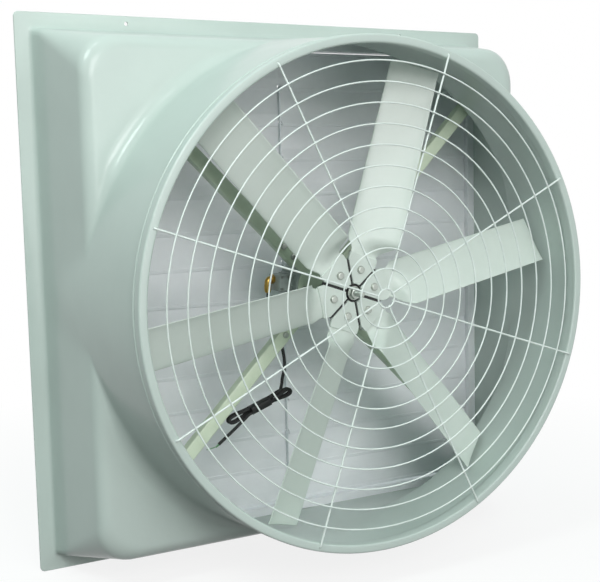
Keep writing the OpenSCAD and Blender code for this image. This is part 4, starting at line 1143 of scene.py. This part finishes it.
def seen_rays(tree):
    """One for camera rays and for glossy and clear rays, which pass the picture on, else zero."""
    path = node(tree, "ShaderNodeLightPath")
    value = path.outputs["Is Camera Ray"]
    for name in ("Is Glossy Ray", "Is Transmission Ray"):
        most = node(tree, "ShaderNodeMath")
        most.operation = "MAXIMUM"
        tree.links.new(value, most.inputs[0])
        tree.links.new(path.outputs[name], most.inputs[1])
        value = most.outputs[0]
    return value


def blended(tree, share, first, second):
    """A mix of two shaders, with a share of the second."""
    mix = node(tree, "ShaderNodeMixShader")
    for value, socket in zip((share, first.outputs[0], second.outputs[0]), mix.inputs):
        tree.links.new(value, socket)
    return mix


def studio_floor():
    """A wide floor under the flange: white to the camera, less so in the shade near the object."""
    mesh = bpy.data.meshes.new("floor")
    s, z = FLOOR_HALF, float(cad_low[2]) - FLOOR_GAP
    mesh.from_pydata([(-s, -s, z), (s, -s, z), (s, s, z), (-s, s, z)], [], [(0, 1, 2, 3)])
    obj = placed("floor", mesh)
    mat = bpy.data.materials.new("floor_paper")
    mat.use_nodes = True
    tree = mat.node_tree
    tree.nodes.clear()
    paper = node(tree, "ShaderNodeBsdfDiffuse", Color=PAPER)
    bright = node(tree, "ShaderNodeBsdfDiffuse", Color=WHITE)
    glow = node(tree, "ShaderNodeEmission", Color=WHITE)
    away = node(tree, "ShaderNodeVectorMath", Vector=stretched(tree, (1, 1, 0)))
    away.operation = "LENGTH"
    share = node(tree, "ShaderNodeMapRange", Value=away.outputs["Value"], From_Min=SHADE_NEAR,
                 From_Max=SHADE_FAR, To_Min=SHADE_SHARE, To_Max=0)
    face = blended(tree, share.outputs["Result"], glow, bright)
    surface = blended(tree, seen_rays(tree), paper, face)
    node(tree, "ShaderNodeOutputMaterial", Surface=surface.outputs[0])
    mesh.materials.append(mat)


def studio_world():
    """White for the rays that are seen; all other light is a sky that fades downwards."""
    world = bpy.data.worlds.new("studio")
    scene.world = world
    world.use_nodes = True
    tree = world.node_tree
    tree.nodes.clear()
    coord = node(tree, "ShaderNodeTexCoord")
    split = node(tree, "ShaderNodeSeparateXYZ", Vector=coord.outputs["Generated"])
    height = node(tree, "ShaderNodeMapRange", Value=split.outputs["Z"], From_Min=-0.7, From_Max=0.8)
    sky = node(tree, "ShaderNodeBackground", Color=ramp(tree, height.outputs["Result"], SKY))
    card = node(tree, "ShaderNodeBackground", Color=WHITE)
    node(tree, "ShaderNodeOutputWorld", Surface=blended(tree, seen_rays(tree), sky, card).outputs[0])


def soft_lamp(name, at, target, size, watts, colour=(1, 1, 1)):
    """A square area lamp that looks from one point to another."""
    data = bpy.data.lights.new(name, "AREA")
    data.shape, data.size, data.energy, data.color = "SQUARE", size, watts, colour
    z = unit(np.subtract(at, target))
    x = unit(np.cross([0, 0, 1], z))
    set_axes(placed(name, data), x, np.cross(z, x), z, at)
    print("lamp", name, watts, "W")


studio_floor()
studio_world()
soft_lamp("key", (-1.6, -4.7, 2.2), (0, -0.2, 0), size=1.8, watts=80, colour=(1, 0.97, 0.98))
soft_lamp("left", (-2.4, -1.5, 2.6), (-0.5, -0.3, 0.3), size=0.9, watts=35, colour=(0.88, 1, 0.96))
soft_lamp("front", (0.2, -5.6, 0.6), (0, 0, 0), size=3.6, watts=124, colour=(1, 0.985, 0.985))
soft_lamp("top", (-1.6, -1.2, 3.4), (-0.2, -0.3, 0.5), size=0.5, watts=5)
scene.view_settings.view_transform = "Standard"
